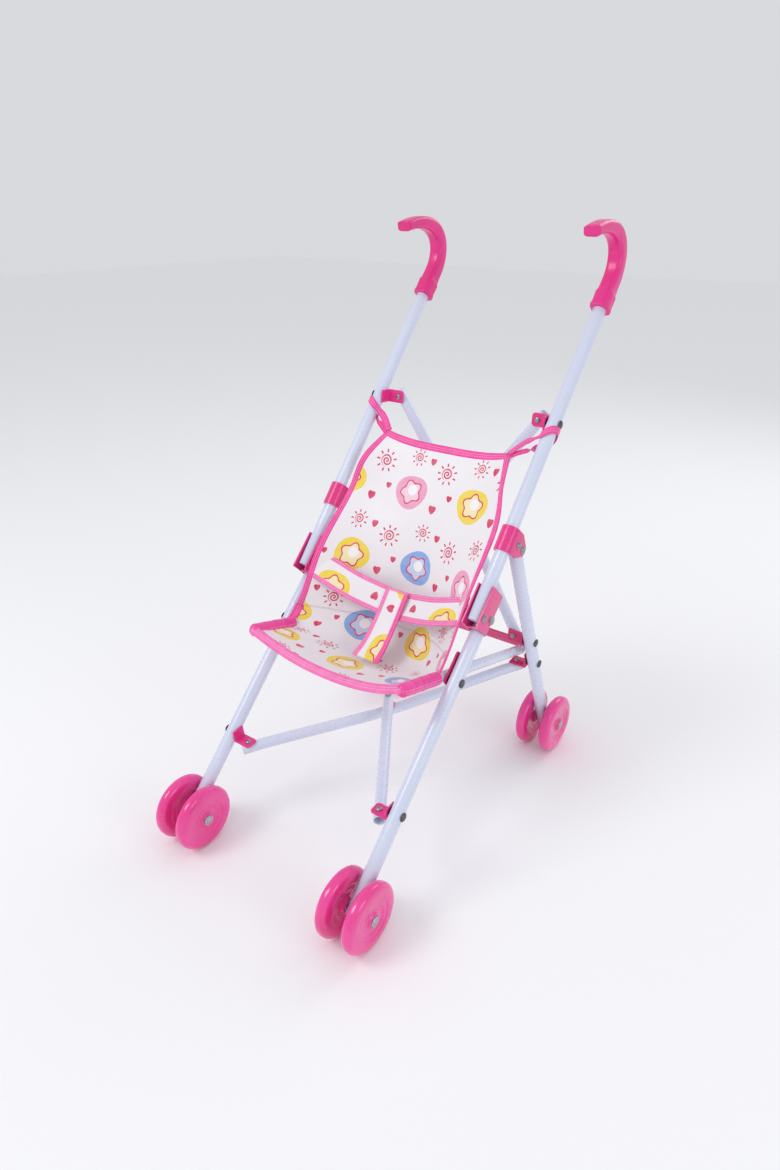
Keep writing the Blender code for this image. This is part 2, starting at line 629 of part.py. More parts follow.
def add_fabric():
    line = sling_line()
    runs = directions_of(line)
    normals = [run.cross(LATERAL).normalized() for run in runs]
    front = [p + n * (SLING_THICK / 2) for p, n in zip(line, normals)]
    back = [p - n * (SLING_THICK / 2) for p, n in zip(line, normals)]
    outline = [p - LATERAL * SLING_HALF for p in front + back[::-1]]
    add_piece("seat_sling", prism(outline, LATERAL * (2 * SLING_HALF)), FABRIC, line[0])
    down = Vector((0.0, -0.68, -0.73)).normalized()
    square = down.cross(LATERAL).normalized()
    end = HALF_TRACK - FRAME_TUBE_R - RAIL_INSET + RAIL_TUBE_R
    knee = Vector((0.0, KNEE_Y, KNEE_HEIGHT))
    belt = []
    for k in range(9):
        share = k / 4 - 1
        sag = 1 - abs(share) ** 1.6
        belt.append(knee + Vector((end * share, BELT_SAG[0] * sag, BELT_SAG[1] * sag)))
    add_piece("waist_belt", strip(belt, down, square, STRAP_WIDTH, STRAP_THICK), FABRIC, belt[4])
    crotch = [knee + Vector((0.0, behind, above)) for behind, above in CROTCH_ROUTE]
    rise = Vector((0.0, -0.6, 0.8))
    add_piece("crotch_strap", strip(crotch, LATERAL, rise, STRAP_WIDTH, STRAP_THICK), FABRIC, crotch[0])
    for side in SIDES:
        low, high = (HANDLE.at(side, LOOP_AT + LOOP_HALF * k) for k in (-1, 1))
        bm = pipe([low, high], FRAME_TUBE_R + GAP + STRAP_THICK, FRAME_TUBE_R + GAP, LEG_SIDES)
        loop = add_piece(f"strap_loop_{side}", bm, PINK, HANDLE.at(side, LOOP_AT))
        start = HANDLE.at(side, LOOP_AT, 0, -FRAME_TUBE_R - GAP - STRAP_THICK / 2)
        finish = line[0] + LATERAL * (SIDES[side] * (SLING_HALF + 3 * GAP))
        tail = strip([start, finish], HANDLE.run, HANDLE.normal, 1.6 * LOOP_HALF, STRAP_THICK)
        combine(loop, tail, "UNION", "tail")


def main():
    clear_scene()
    for side in SIDES:
        add_handle(side)
        add_grip(side)
        add_collar(side)
        add_knee(side)
        add_rear_leg(side)
        add_seat_rail(side)
        add_brace(side)
        add_wheel_pair("front", side)
        add_wheel_pair("rear", side)
    add_crosses()
    add_fabric()


main()
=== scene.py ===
"""Looks of a doll stroller: painted tube frame, moulded fittings, wheels and a printed sling seat."""

import json
import logging
import math
from dataclasses import dataclass
from enum import Enum
from typing import Optional, Sequence

import bmesh
import bpy
import numpy as np
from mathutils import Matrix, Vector

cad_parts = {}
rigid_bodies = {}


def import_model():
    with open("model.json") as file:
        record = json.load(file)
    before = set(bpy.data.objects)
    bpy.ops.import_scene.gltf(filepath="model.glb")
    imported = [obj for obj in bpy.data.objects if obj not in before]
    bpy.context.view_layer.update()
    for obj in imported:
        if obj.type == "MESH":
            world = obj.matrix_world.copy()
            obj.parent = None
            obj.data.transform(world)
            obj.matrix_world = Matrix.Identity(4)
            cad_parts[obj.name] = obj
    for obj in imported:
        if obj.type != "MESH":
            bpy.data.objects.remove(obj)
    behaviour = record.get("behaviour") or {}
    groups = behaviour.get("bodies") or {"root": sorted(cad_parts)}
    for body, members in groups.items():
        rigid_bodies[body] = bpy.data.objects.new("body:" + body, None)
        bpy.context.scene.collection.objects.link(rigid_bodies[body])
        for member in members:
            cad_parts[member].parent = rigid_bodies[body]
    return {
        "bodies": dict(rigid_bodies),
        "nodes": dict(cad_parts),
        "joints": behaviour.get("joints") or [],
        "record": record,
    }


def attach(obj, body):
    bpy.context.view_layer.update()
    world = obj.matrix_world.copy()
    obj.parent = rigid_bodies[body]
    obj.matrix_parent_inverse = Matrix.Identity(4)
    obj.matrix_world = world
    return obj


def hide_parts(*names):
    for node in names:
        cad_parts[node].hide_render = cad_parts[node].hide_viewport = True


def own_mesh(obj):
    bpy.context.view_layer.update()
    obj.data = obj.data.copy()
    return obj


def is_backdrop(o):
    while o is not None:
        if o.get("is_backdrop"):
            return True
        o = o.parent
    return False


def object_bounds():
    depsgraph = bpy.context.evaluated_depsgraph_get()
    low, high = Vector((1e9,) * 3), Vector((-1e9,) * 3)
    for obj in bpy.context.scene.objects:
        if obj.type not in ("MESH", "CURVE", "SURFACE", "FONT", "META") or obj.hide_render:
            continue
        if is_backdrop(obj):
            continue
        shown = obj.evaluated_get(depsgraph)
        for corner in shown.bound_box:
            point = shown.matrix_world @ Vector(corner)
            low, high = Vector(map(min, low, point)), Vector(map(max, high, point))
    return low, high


LOG = logging.getLogger("doll_stroller")
LATERAL = np.array([1.0, 0.0, 0.0])
SIDES: dict[str, float] = {"left": 1.0, "right": -1.0}
GAP = 0.0003


# ---------------------------------------------------------------- small vector and mesh helpers


def unit(v: np.ndarray) -> np.ndarray:
    """Vectors scaled to length one along the last axis."""
    v = np.asarray(v, float)
    return v / np.maximum(np.linalg.norm(v, axis=-1, keepdims=True), 1e-12)


def smooth_path(knots: Sequence[Sequence[float]], count: int) -> np.ndarray:
    """Points evenly spaced along a centripetal Catmull-Rom curve through the knots.

    Args:
        knots: the points that the curve passes through.
        count: how many points to return.

    Returns:
        An array of count points.
    """
    p = np.asarray(knots, float)
    p = np.vstack([2 * p[0] - p[1], p, 2 * p[-1] - p[-2]])
    steps = np.maximum(np.linalg.norm(np.diff(p, axis=0), axis=1), 1e-9) ** 0.5
    t = np.concatenate([[0.0], np.cumsum(steps)])
    parts = []
    for i in range(1, len(p) - 2):
        u = np.linspace(t[i], t[i + 1], 24, endpoint=i == len(p) - 3)[:, None]
        a = [(t[i + k] - u) / (t[i + k] - t[i + k - 1]) * p[i + k - 1] + (u - t[i + k - 1])
             / (t[i + k] - t[i + k - 1]) * p[i + k] for k in (0, 1, 2)]
        b = [(t[i + k + 1] - u) / (t[i + k + 1] - t[i + k - 1]) * a[k] + (u - t[i + k - 1])
             / (t[i + k + 1] - t[i + k - 1]) * a[k + 1] for k in (0, 1)]
        parts.append((t[i + 1] - u) / (t[i + 1] - t[i]) * b[0] + (u - t[i]) / (t[i + 1] - t[i]) * b[1])
    dense = np.vstack(parts)
    run = np.concatenate([[0.0], np.cumsum(np.linalg.norm(np.diff(dense, axis=0), axis=1))])
    at = np.linspace(0, run[-1], count)
    return np.stack([np.interp(at, run, dense[:, k]) for k in range(dense.shape[1])], -1)


def blended(x: np.ndarray, knots: Sequence[float], values: Sequence[Sequence[float]]) -> np.ndarray:
    """Values read at x from a smooth curve through values at rising knots, one column at a time."""
    x, knots, values = np.asarray(x, float), np.asarray(knots, float), np.asarray(values, float)
    slope = np.gradient(values, knots, axis=0)
    i = np.clip(np.searchsorted(knots, x) - 1, 0, len(knots) - 2)
    h = (knots[i + 1] - knots[i])[..., None]
    t = ((x - knots[i])[..., None]) / h
    rise = values[i] * (2 * t**3 - 3 * t**2 + 1) + values[i + 1] * (3 * t**2 - 2 * t**3)
    return rise + h * (slope[i] * (t**3 - 2 * t**2 + t) + slope[i + 1] * (t**3 - t**2))


def travel(points: np.ndarray) -> np.ndarray:
    """The unit direction of travel at each point of a path."""
    return unit(np.gradient(np.asarray(points, float), axis=0))


def run_length(points: np.ndarray) -> np.ndarray:
    """Distance along a path at each of its points."""
    return np.concatenate([[0.0], np.cumsum(np.linalg.norm(np.diff(points, axis=0), axis=1))])


def mesh_piece(
    name: str,
    points: np.ndarray,
    finish: bpy.types.Material,
    round_way: bool = True,
    loop_way: bool = False,
    poles: bool = False,
    uv: Optional[np.ndarray] = None,
    sharp: float = 40.0,
) -> bpy.types.Object:
    """An object from a grid of points.

    Args:
        name: the piece's name.
        points: rows by columns by three.
        finish: its material.
        round_way: the last column joins the first.
        loop_way: the last row joins the first.
        poles: the first and last rows are closed by a fan round their middle.
        uv: rows by columns by two, for a grid that doesn't join round.
        sharp: the angle in degrees past which an edge is sharp.

    Returns:
        The object, at the origin, with its faces pointing out.
    """
    rows, cols = points.shape[:2]
    index = np.arange(rows * cols).reshape(rows, cols)
    r_next = np.roll(index, -1, 0) if loop_way else index[1:]
    low = index if loop_way else index[:-1]
    corners = [low, np.roll(low, -1, 1), np.roll(r_next, -1, 1), r_next]
    if not round_way:
        corners = [c[:, :-1] for c in corners[:1]] + [low[:, 1:], r_next[:, 1:], r_next[:, :-1]]
    quads = np.stack(corners, -1).reshape(-1, 4)
    verts = points.reshape(-1, 3)
    faces = quads.tolist()
    if poles:
        verts = np.vstack([verts, points[0].mean(0), points[-1].mean(0)])
        first, last = rows * cols, rows * cols + 1
        faces += [[first, b, a] for a, b in zip(index[0], np.roll(index[0], -1))]
        faces += [[last, a, b] for a, b in zip(index[-1], np.roll(index[-1], -1))]
    mesh = bpy.data.meshes.new(name)
    mesh.from_pydata(verts.tolist(), [], faces)
    if uv is not None:
        layer = mesh.uv_layers.new(name="cloth")
        loops = np.zeros(len(mesh.loops), np.int32)
        mesh.loops.foreach_get("vertex_index", loops)
        layer.data.foreach_set("uv", uv.reshape(-1, 2)[loops].astype(np.float32).ravel())
    if round_way and (loop_way or poles):
        outward(mesh)
    mesh.shade_smooth()
    mesh.set_sharp_from_angle(angle=math.radians(sharp))
    mesh.materials.append(finish)
    obj = bpy.data.objects.new(name, mesh)
    bpy.context.scene.collection.objects.link(obj)
    return obj


def outward(mesh: bpy.types.Mesh) -> None:
    """Turns a closed mesh's faces outwards."""
    bm = bmesh.new()
    bm.from_mesh(mesh)
    bmesh.ops.recalc_face_normals(bm, faces=bm.faces)
    bm.to_mesh(mesh)
    bm.free()


def joined(name: str, pieces: Sequence[bpy.types.Object]) -> bpy.types.Object:
    """Several meshes made one object, which keeps the first one's material slots in order."""
    bm = bmesh.new()
    mesh = bpy.data.meshes.new(name)
    slots: list[bpy.types.Material] = []
    for obj in pieces:
        before = len(bm.faces)
        bm.from_mesh(obj.data)
        bm.faces.ensure_lookup_table()
        for material in obj.data.materials:
            if material not in slots:
                slots.append(material)
        place = slots.index(obj.data.materials[0])
        for face in bm.faces[before:]:
            face.material_index = place
    bm.to_mesh(mesh)
    bm.free()
    for material in slots:
        mesh.materials.append(material)
    for obj in pieces:
        bpy.data.objects.remove(obj, do_unlink=True)
    made = bpy.data.objects.new(name, mesh)
    bpy.context.scene.collection.objects.link(made)
    return made


def carried(path: np.ndarray, section: np.ndarray, across: np.ndarray) -> np.ndarray:
    """A section carried along a path.

    Each point is the path's point plus the section's first number along the across direction, made
    square to the travel, and its second number along the third direction.

    Args:
        path: rows by three.
        section: columns by two, or rows by columns by two.
        across: one direction, or one for each row.

    Returns:
        Rows by columns by three.
    """
    run = travel(path)
    side = np.broadcast_to(across, path.shape)
    side = unit(side - run * (side * run).sum(-1, keepdims=True))
    up = np.cross(side, run)
    section = np.broadcast_to(section, (len(path), *section.shape[-2:]))
    return path[:, None] + section[..., :1] * side[:, None] + section[..., 1:] * up[:, None]


def circle(radius: float, sides: int) -> np.ndarray:
    """Points round a circle."""
    t = np.linspace(0, 2 * np.pi, sides, endpoint=False)
    return radius * np.stack([np.cos(t), np.sin(t)], -1)


def rounded_box(width: float, height: float, radius: float, steps: int = 5) -> np.ndarray:
    """Points round a rectangle whose corners are arcs of a radius."""
    t = np.linspace(0, np.pi / 2, steps)
    arc = radius * np.stack([np.cos(t), np.sin(t)], -1)
    corner = np.array([width / 2 - radius, height / 2 - radius])
    turns = [np.array([[c, -s], [s, c]]) for c, s in ((1, 0), (0, 1), (-1, 0), (0, -1))]
    signs = ((1, 1), (-1, 1), (-1, -1), (1, -1))
    return np.vstack([arc @ turn.T + corner * sign for turn, sign in zip(turns, signs)])


def turned(centre: np.ndarray, axis: np.ndarray, profile: Sequence[Sequence[float]], sides: int) -> np.ndarray:
    """A profile of (distance along the axis, radius) spun round the axis."""
    axis = unit(axis)
    first = unit(np.cross(axis, (0.0, 1.0, 0.0) if abs(axis[1]) < 0.9 else (1.0, 0.0, 0.0)))
    second = np.cross(axis, first)
    t = np.linspace(0, 2 * np.pi, sides, endpoint=False)
    ring = np.cos(t)[:, None] * first + np.sin(t)[:, None] * second
    profile = np.asarray(profile, float)
    return centre + profile[:, None, :1] * axis + profile[:, None, 1:] * ring[None]


# ---------------------------------------------------------------- shader helpers


class Value:
    """A number in a shader, with the arithmetic that builds its Math nodes."""

    def __init__(self, tree: bpy.types.NodeTree, socket: bpy.types.NodeSocket) -> None:
        """Keeps the tree and the socket that carries the number."""
        self.tree, self.socket = tree, socket

    def math(self, kind: str, *others: "float | Value") -> "Value":
        """A Math node of a kind, with this value first."""
        node = self.tree.nodes.new("ShaderNodeMath")
        node.operation = kind
        for place, item in enumerate((self, *others)):
            if isinstance(item, Value):
                self.tree.links.new(item.socket, node.inputs[place])
            else:
                node.inputs[place].default_value = item
        return Value(self.tree, node.outputs[0])

    def __add__(self, other: "float | Value") -> "Value":
        """Sum."""
        return self.math("ADD", other)

    def __sub__(self, other: "float | Value") -> "Value":
        """Difference."""
        return self.math("SUBTRACT", other)

    def __mul__(self, other: "float | Value") -> "Value":
        """Product."""
        return self.math("MULTIPLY", other)

    def below(self, limit: "float | Value") -> "Value":
        """One where the value is under a limit, otherwise nothing."""
        return self.math("LESS_THAN", limit)

    def above(self, limit: "float | Value") -> "Value":
        """One where the value is over a limit, otherwise nothing."""
        return self.math("GREATER_THAN", limit)


class Paint:
    """A material under construction."""

    def __init__(self, name: str) -> None:
        """Starts a material with only its shader and output."""
        self.material = bpy.data.materials.new(name)
        self.material.use_nodes = True
        self.tree = self.material.node_tree
        self.shader = self.tree.nodes["Principled BSDF"]

    def node(self, kind: str, **values: object) -> bpy.types.Node:
        """A node of a kind, with attributes and unlinked inputs set by name."""
        made = self.tree.nodes.new(kind)
        for key, value in values.items():
            if hasattr(made, key):
                setattr(made, key, value)
            else:
                made.inputs[key.replace("_", " ")].default_value = value
        return made

    def link(self, start: bpy.types.NodeSocket, end: bpy.types.NodeSocket) -> None:
        """Joins two sockets."""
        self.tree.links.new(start, end)

    def coordinates(self, kind: str = "Object") -> bpy.types.NodeSocket:
        """The texture coordinate of a kind."""
        return self.node("ShaderNodeTexCoord").outputs[kind]

    def noise(self, scale: float, detail: float = 3.0, kind: str = "Object") -> bpy.types.NodeSocket:
        """Noise of a scale, per metre."""
        made = self.node("ShaderNodeTexNoise", Scale=scale, Detail=detail)
        self.link(self.coordinates(kind), made.inputs["Vector"])
        return made.outputs["Fac"]

    def ranged(self, value: bpy.types.NodeSocket, low: float, high: float, start: float = 0.35,
               end: float = 0.65) -> bpy.types.NodeSocket:
        """A value from start to end mapped to low to high."""
        made = self.node("ShaderNodeMapRange")
        for place, number in zip(("From Min", "From Max", "To Min", "To Max"), (start, end, low, high)):
            made.inputs[place].default_value = number
        self.link(value, made.inputs["Value"])
        return made.outputs["Result"]

    def mix(self, share: "bpy.types.NodeSocket | float", a: "object", b: "object") -> bpy.types.NodeSocket:
        """Two colours mixed by a share."""
        made = self.node("ShaderNodeMix", data_type="RGBA")
        for place, item in ((0, share), (6, a), (7, b)):
            if isinstance(item, bpy.types.NodeSocket):
                self.link(item, made.inputs[place])
            else:
                made.inputs[place].default_value = item if place == 0 else (*item, 1.0)
        return made.outputs[2]

    def bump(self, height: bpy.types.NodeSocket, strength: float, distance: float) -> None:
        """Adds a bump to the shader's normal."""
        made = self.node("ShaderNodeBump", Strength=strength, Distance=distance)
        self.link(height, made.inputs["Height"])
        if self.shader.inputs["Normal"].is_linked:
            self.link(self.shader.inputs["Normal"].links[0].from_socket, made.inputs["Normal"])
        self.link(made.outputs[0], self.shader.inputs["Normal"])

    def set(self, **values: object) -> None:
        """Sets the shader's own sockets by name."""
        for key, value in values.items():
            self.shader.inputs[key.replace("_", " ")].default_value = value


@dataclass(frozen=True)
class Moulded:
    """Glossy moulded plastic with faint flow marks."""

    name: str
    light: tuple[float, float, float]
    deep: tuple[float, float, float]
    roughness: float = 0.28
    coat: float = 0.35
    glow: float = 0.0

    def build(self) -> bpy.types.Material:
        """The material: slow colour drift, fine roughness change and a slight moulded waviness."""
        p = Paint(self.name)
        drift = p.ranged(p.noise(22.0, 2.0), 0.0, 1.0)
        p.link(p.mix(drift, self.light, self.deep), p.shader.inputs["Base Color"])
        p.link(p.ranged(p.noise(120.0, 2.0), self.roughness * 0.9, self.roughness * 1.15),
               p.shader.inputs["Roughness"])
        p.set(Coat_Weight=self.coat, Coat_Roughness=0.12, IOR=1.5)
        if self.glow:
            p.set(Subsurface_Weight=self.glow, Subsurface_Radius=(0.006, 0.0016, 0.003), Subsurface_Scale=1.0)
        p.bump(p.noise(140.0, 2.0), 0.03, 0.0003)
        return p.material


@dataclass(frozen=True)
class PowderCoat:
    """White paint baked on steel tube, with a faint orange peel and rub marks, coloured pale lavender blue as painted
    shade.
    """

    name: str
    base: tuple[float, float, float]
    shade: tuple[float, float, float]

    def build(self) -> bpy.types.Material:
        """The material: a pale lavender blue, painted shade standing in for the white paint's bluish shading, with a
        barely uneven gloss.
        """
        p = Paint(self.name)
        # Both colours are pale lavender blue, darker than white: painted shade for the tubes' bluish shading; noise
        # mixes the two at random.
        p.link(p.mix(p.ranged(p.noise(14.0, 3.0), 0.0, 1.0), self.base, self.shade), p.shader.inputs["Base Color"])
        p.link(p.ranged(p.noise(420.0, 4.0), 0.22, 0.36), p.shader.inputs["Roughness"])
        p.set(Coat_Weight=0.5, Coat_Roughness=0.08)
        p.bump(p.noise(90.0, 1.0), 0.03, 0.0003)
        return p.material


@dataclass(frozen=True)
class Steel:
    """Bare rivet and axle steel."""

    name: str
    tone: float
    roughness: float

    def build(self) -> bpy.types.Material:
        """The material: metal with fine scratches and darker patches."""
        p = Paint(self.name)
        dark = tuple(self.tone * k for k in (0.55, 0.55, 0.58))
        light = (self.tone, self.tone, self.tone * 1.03)
        p.link(p.mix(p.ranged(p.noise(600.0, 4.0), 0.0, 1.0), light, dark), p.shader.inputs["Base Color"])
        p.link(p.ranged(p.noise(1500.0, 3.0), self.roughness, self.roughness + 0.15), p.shader.inputs["Roughness"])
        p.set(Metallic=1.0)
        p.bump(p.noise(2600.0, 2.0), 0.1, 0.0001)
        return p.material


@dataclass(frozen=True)
class PrintedSatin:
    """White satin printed with coloured discs, coiled suns and hearts, in a repeating tile."""

    name: str
    tile: float = 0.072
    ground: tuple[float, float, float] = (0.90, 0.87, 0.90)
    red: tuple[float, float, float] = (0.72, 0.03, 0.12)
    tints: tuple[tuple[float, float, float], ...] = ((0.93, 0.71, 0.05), (0.25, 0.44, 0.83), (0.88, 0.36, 0.56))

    def build(self) -> bpy.types.Material:
        """The material: the print, a fine satin weave in the bump, and a soft sheen."""
        p = Paint(self.name)
        split = p.node("ShaderNodeSeparateXYZ")
        p.link(p.coordinates("UV"), split.inputs[0])
        u = Value(p.tree, split.outputs[0]) * (1.0 / self.tile)
        v = Value(p.tree, split.outputs[1]) * (1.0 / self.tile)
        row = v.math("FLOOR")
        u = u + row * 0.37
        cell_u = u.math("FLOOR")
        fu, fv = u.math("FRACT"), v.math("FRACT")
        pick = p.node("ShaderNodeTexWhiteNoise", noise_dimensions="2D")
        place = p.node("ShaderNodeCombineXYZ")
        p.link((cell_u + 0.5).socket, place.inputs[0])
        p.link((row + 0.5).socket, place.inputs[1])
        p.link(place.outputs[0], pick.inputs["Vector"])
        chance = Value(p.tree, pick.outputs["Value"])
        colour = p.mix(chance.above(0.36).socket, self.tints[0], self.tints[1])
        colour = p.mix(chance.above(0.68).socket, colour, self.tints[2])
        painted = self.ground

        def polar(x0: float, y0: float) -> tuple[Value, Value]:
            """Distance and angle from a point of the tile."""
            x, y = fu - x0, fv - y0
            return (x * x + y * y).math("SQRT"), y.math("ARCTAN2", x)

        distance, angle = polar(0.32, 0.34)
        wobble = (angle * 3.0 + chance * 9.0).math("SINE") * 0.012 + (angle * 2.0).math("COSINE") * 0.01
        edge = distance - wobble
        painted = p.mix(edge.below(0.245).socket, painted, colour)
        petals = distance - (angle * 5.0 + chance * 6.0).math("SINE") * 0.022
        line = (petals - 0.15).math("ABSOLUTE").below(0.011)
        painted = p.mix(petals.below(0.15).socket, painted, p.mix(0.45, colour, (1.0, 1.0, 1.0)))
        inside, _ = polar(0.34, 0.37)
        painted = p.mix(inside.below(0.075).socket, painted, (0.95, 0.94, 0.95))
        painted = p.mix(line.socket, painted, self.red)
        for x0, y0, size in ((0.80, 0.68, 1.0), (0.30, 0.83, 0.8)):
            sun, turn = polar(x0, y0)
            sun = sun * (1 / size)
            coil = (sun * (1 / 0.040) - turn * (1 / (2 * math.pi))).math("FRACT")
            spiral = (coil - 0.5).math("ABSOLUTE").below(0.27) * sun.below(0.082)
            rays = ((turn * (9 / (2 * math.pi))).math("FRACT") - 0.5).math("ABSOLUTE") * sun
            rays = rays.below(0.017) * sun.above(0.105) * sun.below(0.150)
            painted = p.mix(spiral.math("MAXIMUM", rays).socket, painted, self.red)
        for x0, y0, size in ((0.72, 0.16, 0.060), (0.54, 0.80, 0.050), (0.93, 0.36, 0.044)):
            x, y = (fu - x0) * (1 / size), (fv - y0) * (1 / size)
            y = y - x.math("ABSOLUTE") * 0.55
            heart = (x * x + y * y).below(0.85)
            painted = p.mix(heart.socket, painted, self.red)
        faded = p.mix(p.ranged(p.noise(160.0, 3.0), 0.0, 0.10), painted, self.ground)
        p.link(faded, p.shader.inputs["Base Color"])
        p.link(p.ranged(p.noise(60.0, 3.0), 0.42, 0.58), p.shader.inputs["Roughness"])
        p.set(Sheen_Weight=0.25, Sheen_Roughness=0.4, Specular_IOR_Level=0.45)
        threads = Value(p.tree, split.outputs[0]) * (2 * math.pi / 0.00045)
        picks = Value(p.tree, split.outputs[1]) * (2 * math.pi / 0.0007)
        p.bump((threads.math("SINE") * 0.6 + picks.math("SINE") * 0.4).socket, 0.10, 0.00006)
        p.bump(p.noise(75.0, 3.0), 0.25, 0.0008)
        return p.material


@dataclass(frozen=True)
class BindingTape:
    """Pink woven tape with two rows of paler stitches, which follow the tape's own UV map in metres."""

    name: str
    base: tuple[float, float, float] = (0.84, 0.06, 0.33)
    stitch: tuple[float, float, float] = (0.95, 0.42, 0.64)

    def build(self) -> bpy.types.Material:
        """The material: ribs across the tape, and dashes of thread along it near each edge."""
        p = Paint(self.name)
        split = p.node("ShaderNodeSeparateXYZ")
        p.link(p.coordinates("UV"), split.inputs[0])
        along, across = Value(p.tree, split.outputs[0]), Value(p.tree, split.outputs[1])
        dash = (along * (1 / 0.0026)).math("FRACT").below(0.68)
        rowed = ((across.math("ABSOLUTE")) - 0.0011).math("ABSOLUTE").below(0.00022)
        thread = dash * rowed
        ribs = (along * (2 * math.pi / 0.0008)).math("SINE")
        tone = p.mix(p.ranged(p.noise(130.0, 3.0), 0.0, 1.0), self.base, tuple(min(1.0, 1.22 * c) for c in self.base))
        p.link(p.mix(thread.socket, tone, self.stitch), p.shader.inputs["Base Color"])
        p.set(Roughness=0.5, Sheen_Weight=0.4, Sheen_Roughness=0.35)
        p.bump((ribs * 0.4 + thread).socket, 0.3, 0.00015)
        p.bump(p.noise(220.0, 2.0), 0.2, 0.0004)
        return p.material


class Finishes:
    """Every material of the stroller, each made once."""

    def __init__(self) -> None:
        """Builds them."""
        # The powder coat's two colours are painted shade: lavender blue in place of the white paint.
        self.paint = PowderCoat("powder_coat_painted_blue_shade", (0.70, 0.75, 0.90), (0.66, 0.71, 0.87)).build()
        self.fitting = Moulded("pink_fitting", (0.84, 0.032, 0.27), (0.78, 0.022, 0.22)).build()
        self.lever = Moulded("deep_pink_lever", (0.80, 0.018, 0.20), (0.70, 0.014, 0.16), 0.3).build()
        self.grip = Moulded("pink_grip", (0.84, 0.022, 0.27), (0.76, 0.014, 0.22), 0.33, 0.2).build()
        self.wheel = Moulded("pink_wheel", (0.92, 0.060, 0.36), (0.84, 0.035, 0.28), 0.2, 0.6, 0.2).build()
        self.rivet = Steel("rivet_steel", 0.45, 0.22).build()
        self.dark_rivet = Steel("dark_rivet_steel", 0.16, 0.28).build()
        self.axle = Steel("axle_steel", 0.62, 0.2).build()
        self.print = PrintedSatin("printed_satin").build()
        self.tape = BindingTape("binding_tape").build()
        self.pale = BindingTape("binding_tape_pale", (0.90, 0.16, 0.44), (0.97, 0.55, 0.72)).build()


# ---------------------------------------------------------------- what the frame says


class Plan:
    """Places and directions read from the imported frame."""

    def __init__(self, frame: dict) -> None:
        """Keeps the frame's nodes and its joints by name."""
        self.nodes = frame["nodes"]
        self.joints = {j["name"]: j for j in frame["joints"]}

    def pivot(self, joint: str) -> np.ndarray:
        """The point that a joint turns about."""
        return np.array(self.joints[joint]["pos_m"], float)

    def axis(self, joint: str) -> np.ndarray:
        """A joint's axis."""
        return np.array(self.joints[joint]["axis"], float)

    def points(self, node: str) -> np.ndarray:
        """A CAD node's points at rest."""
        mesh = self.nodes[node].data
        co = np.zeros(len(mesh.vertices) * 3, np.float32)
        mesh.vertices.foreach_get("co", co)
        return np.unique(np.round(co.reshape(-1, 3).astype(float), 6), axis=0)

    def ends(self, node: str) -> tuple[np.ndarray, np.ndarray]:
        """The middles of a tube's two ends, the higher one first.

        They are the means of the points that lie furthest each way along the tube's longest
        direction."""
        p = self.points(node)
        mean = p.mean(0)
        longest = np.linalg.svd(p - mean, full_matrices=False)[2][0]
        reach = (p - mean) @ longest
        near = 0.0012
        a, b = p[reach > reach.max() - near].mean(0), p[reach < reach.min() + near].mean(0)
        return (a, b) if a[2] > b[2] else (b, a)

    def bow(self, node: str) -> np.ndarray:
        """A bowed tube's middle: the mean of the rings on each side of its hole."""
        p = self.points(node)
        a, b = self.ends(node)
        run = unit(b - a)
        reach = (p - (a + b) / 2) @ run
        return p[(abs(reach) > 0.012) & (abs(reach) < 0.021)].mean(0)


# ---------------------------------------------------------------- frame of tubes


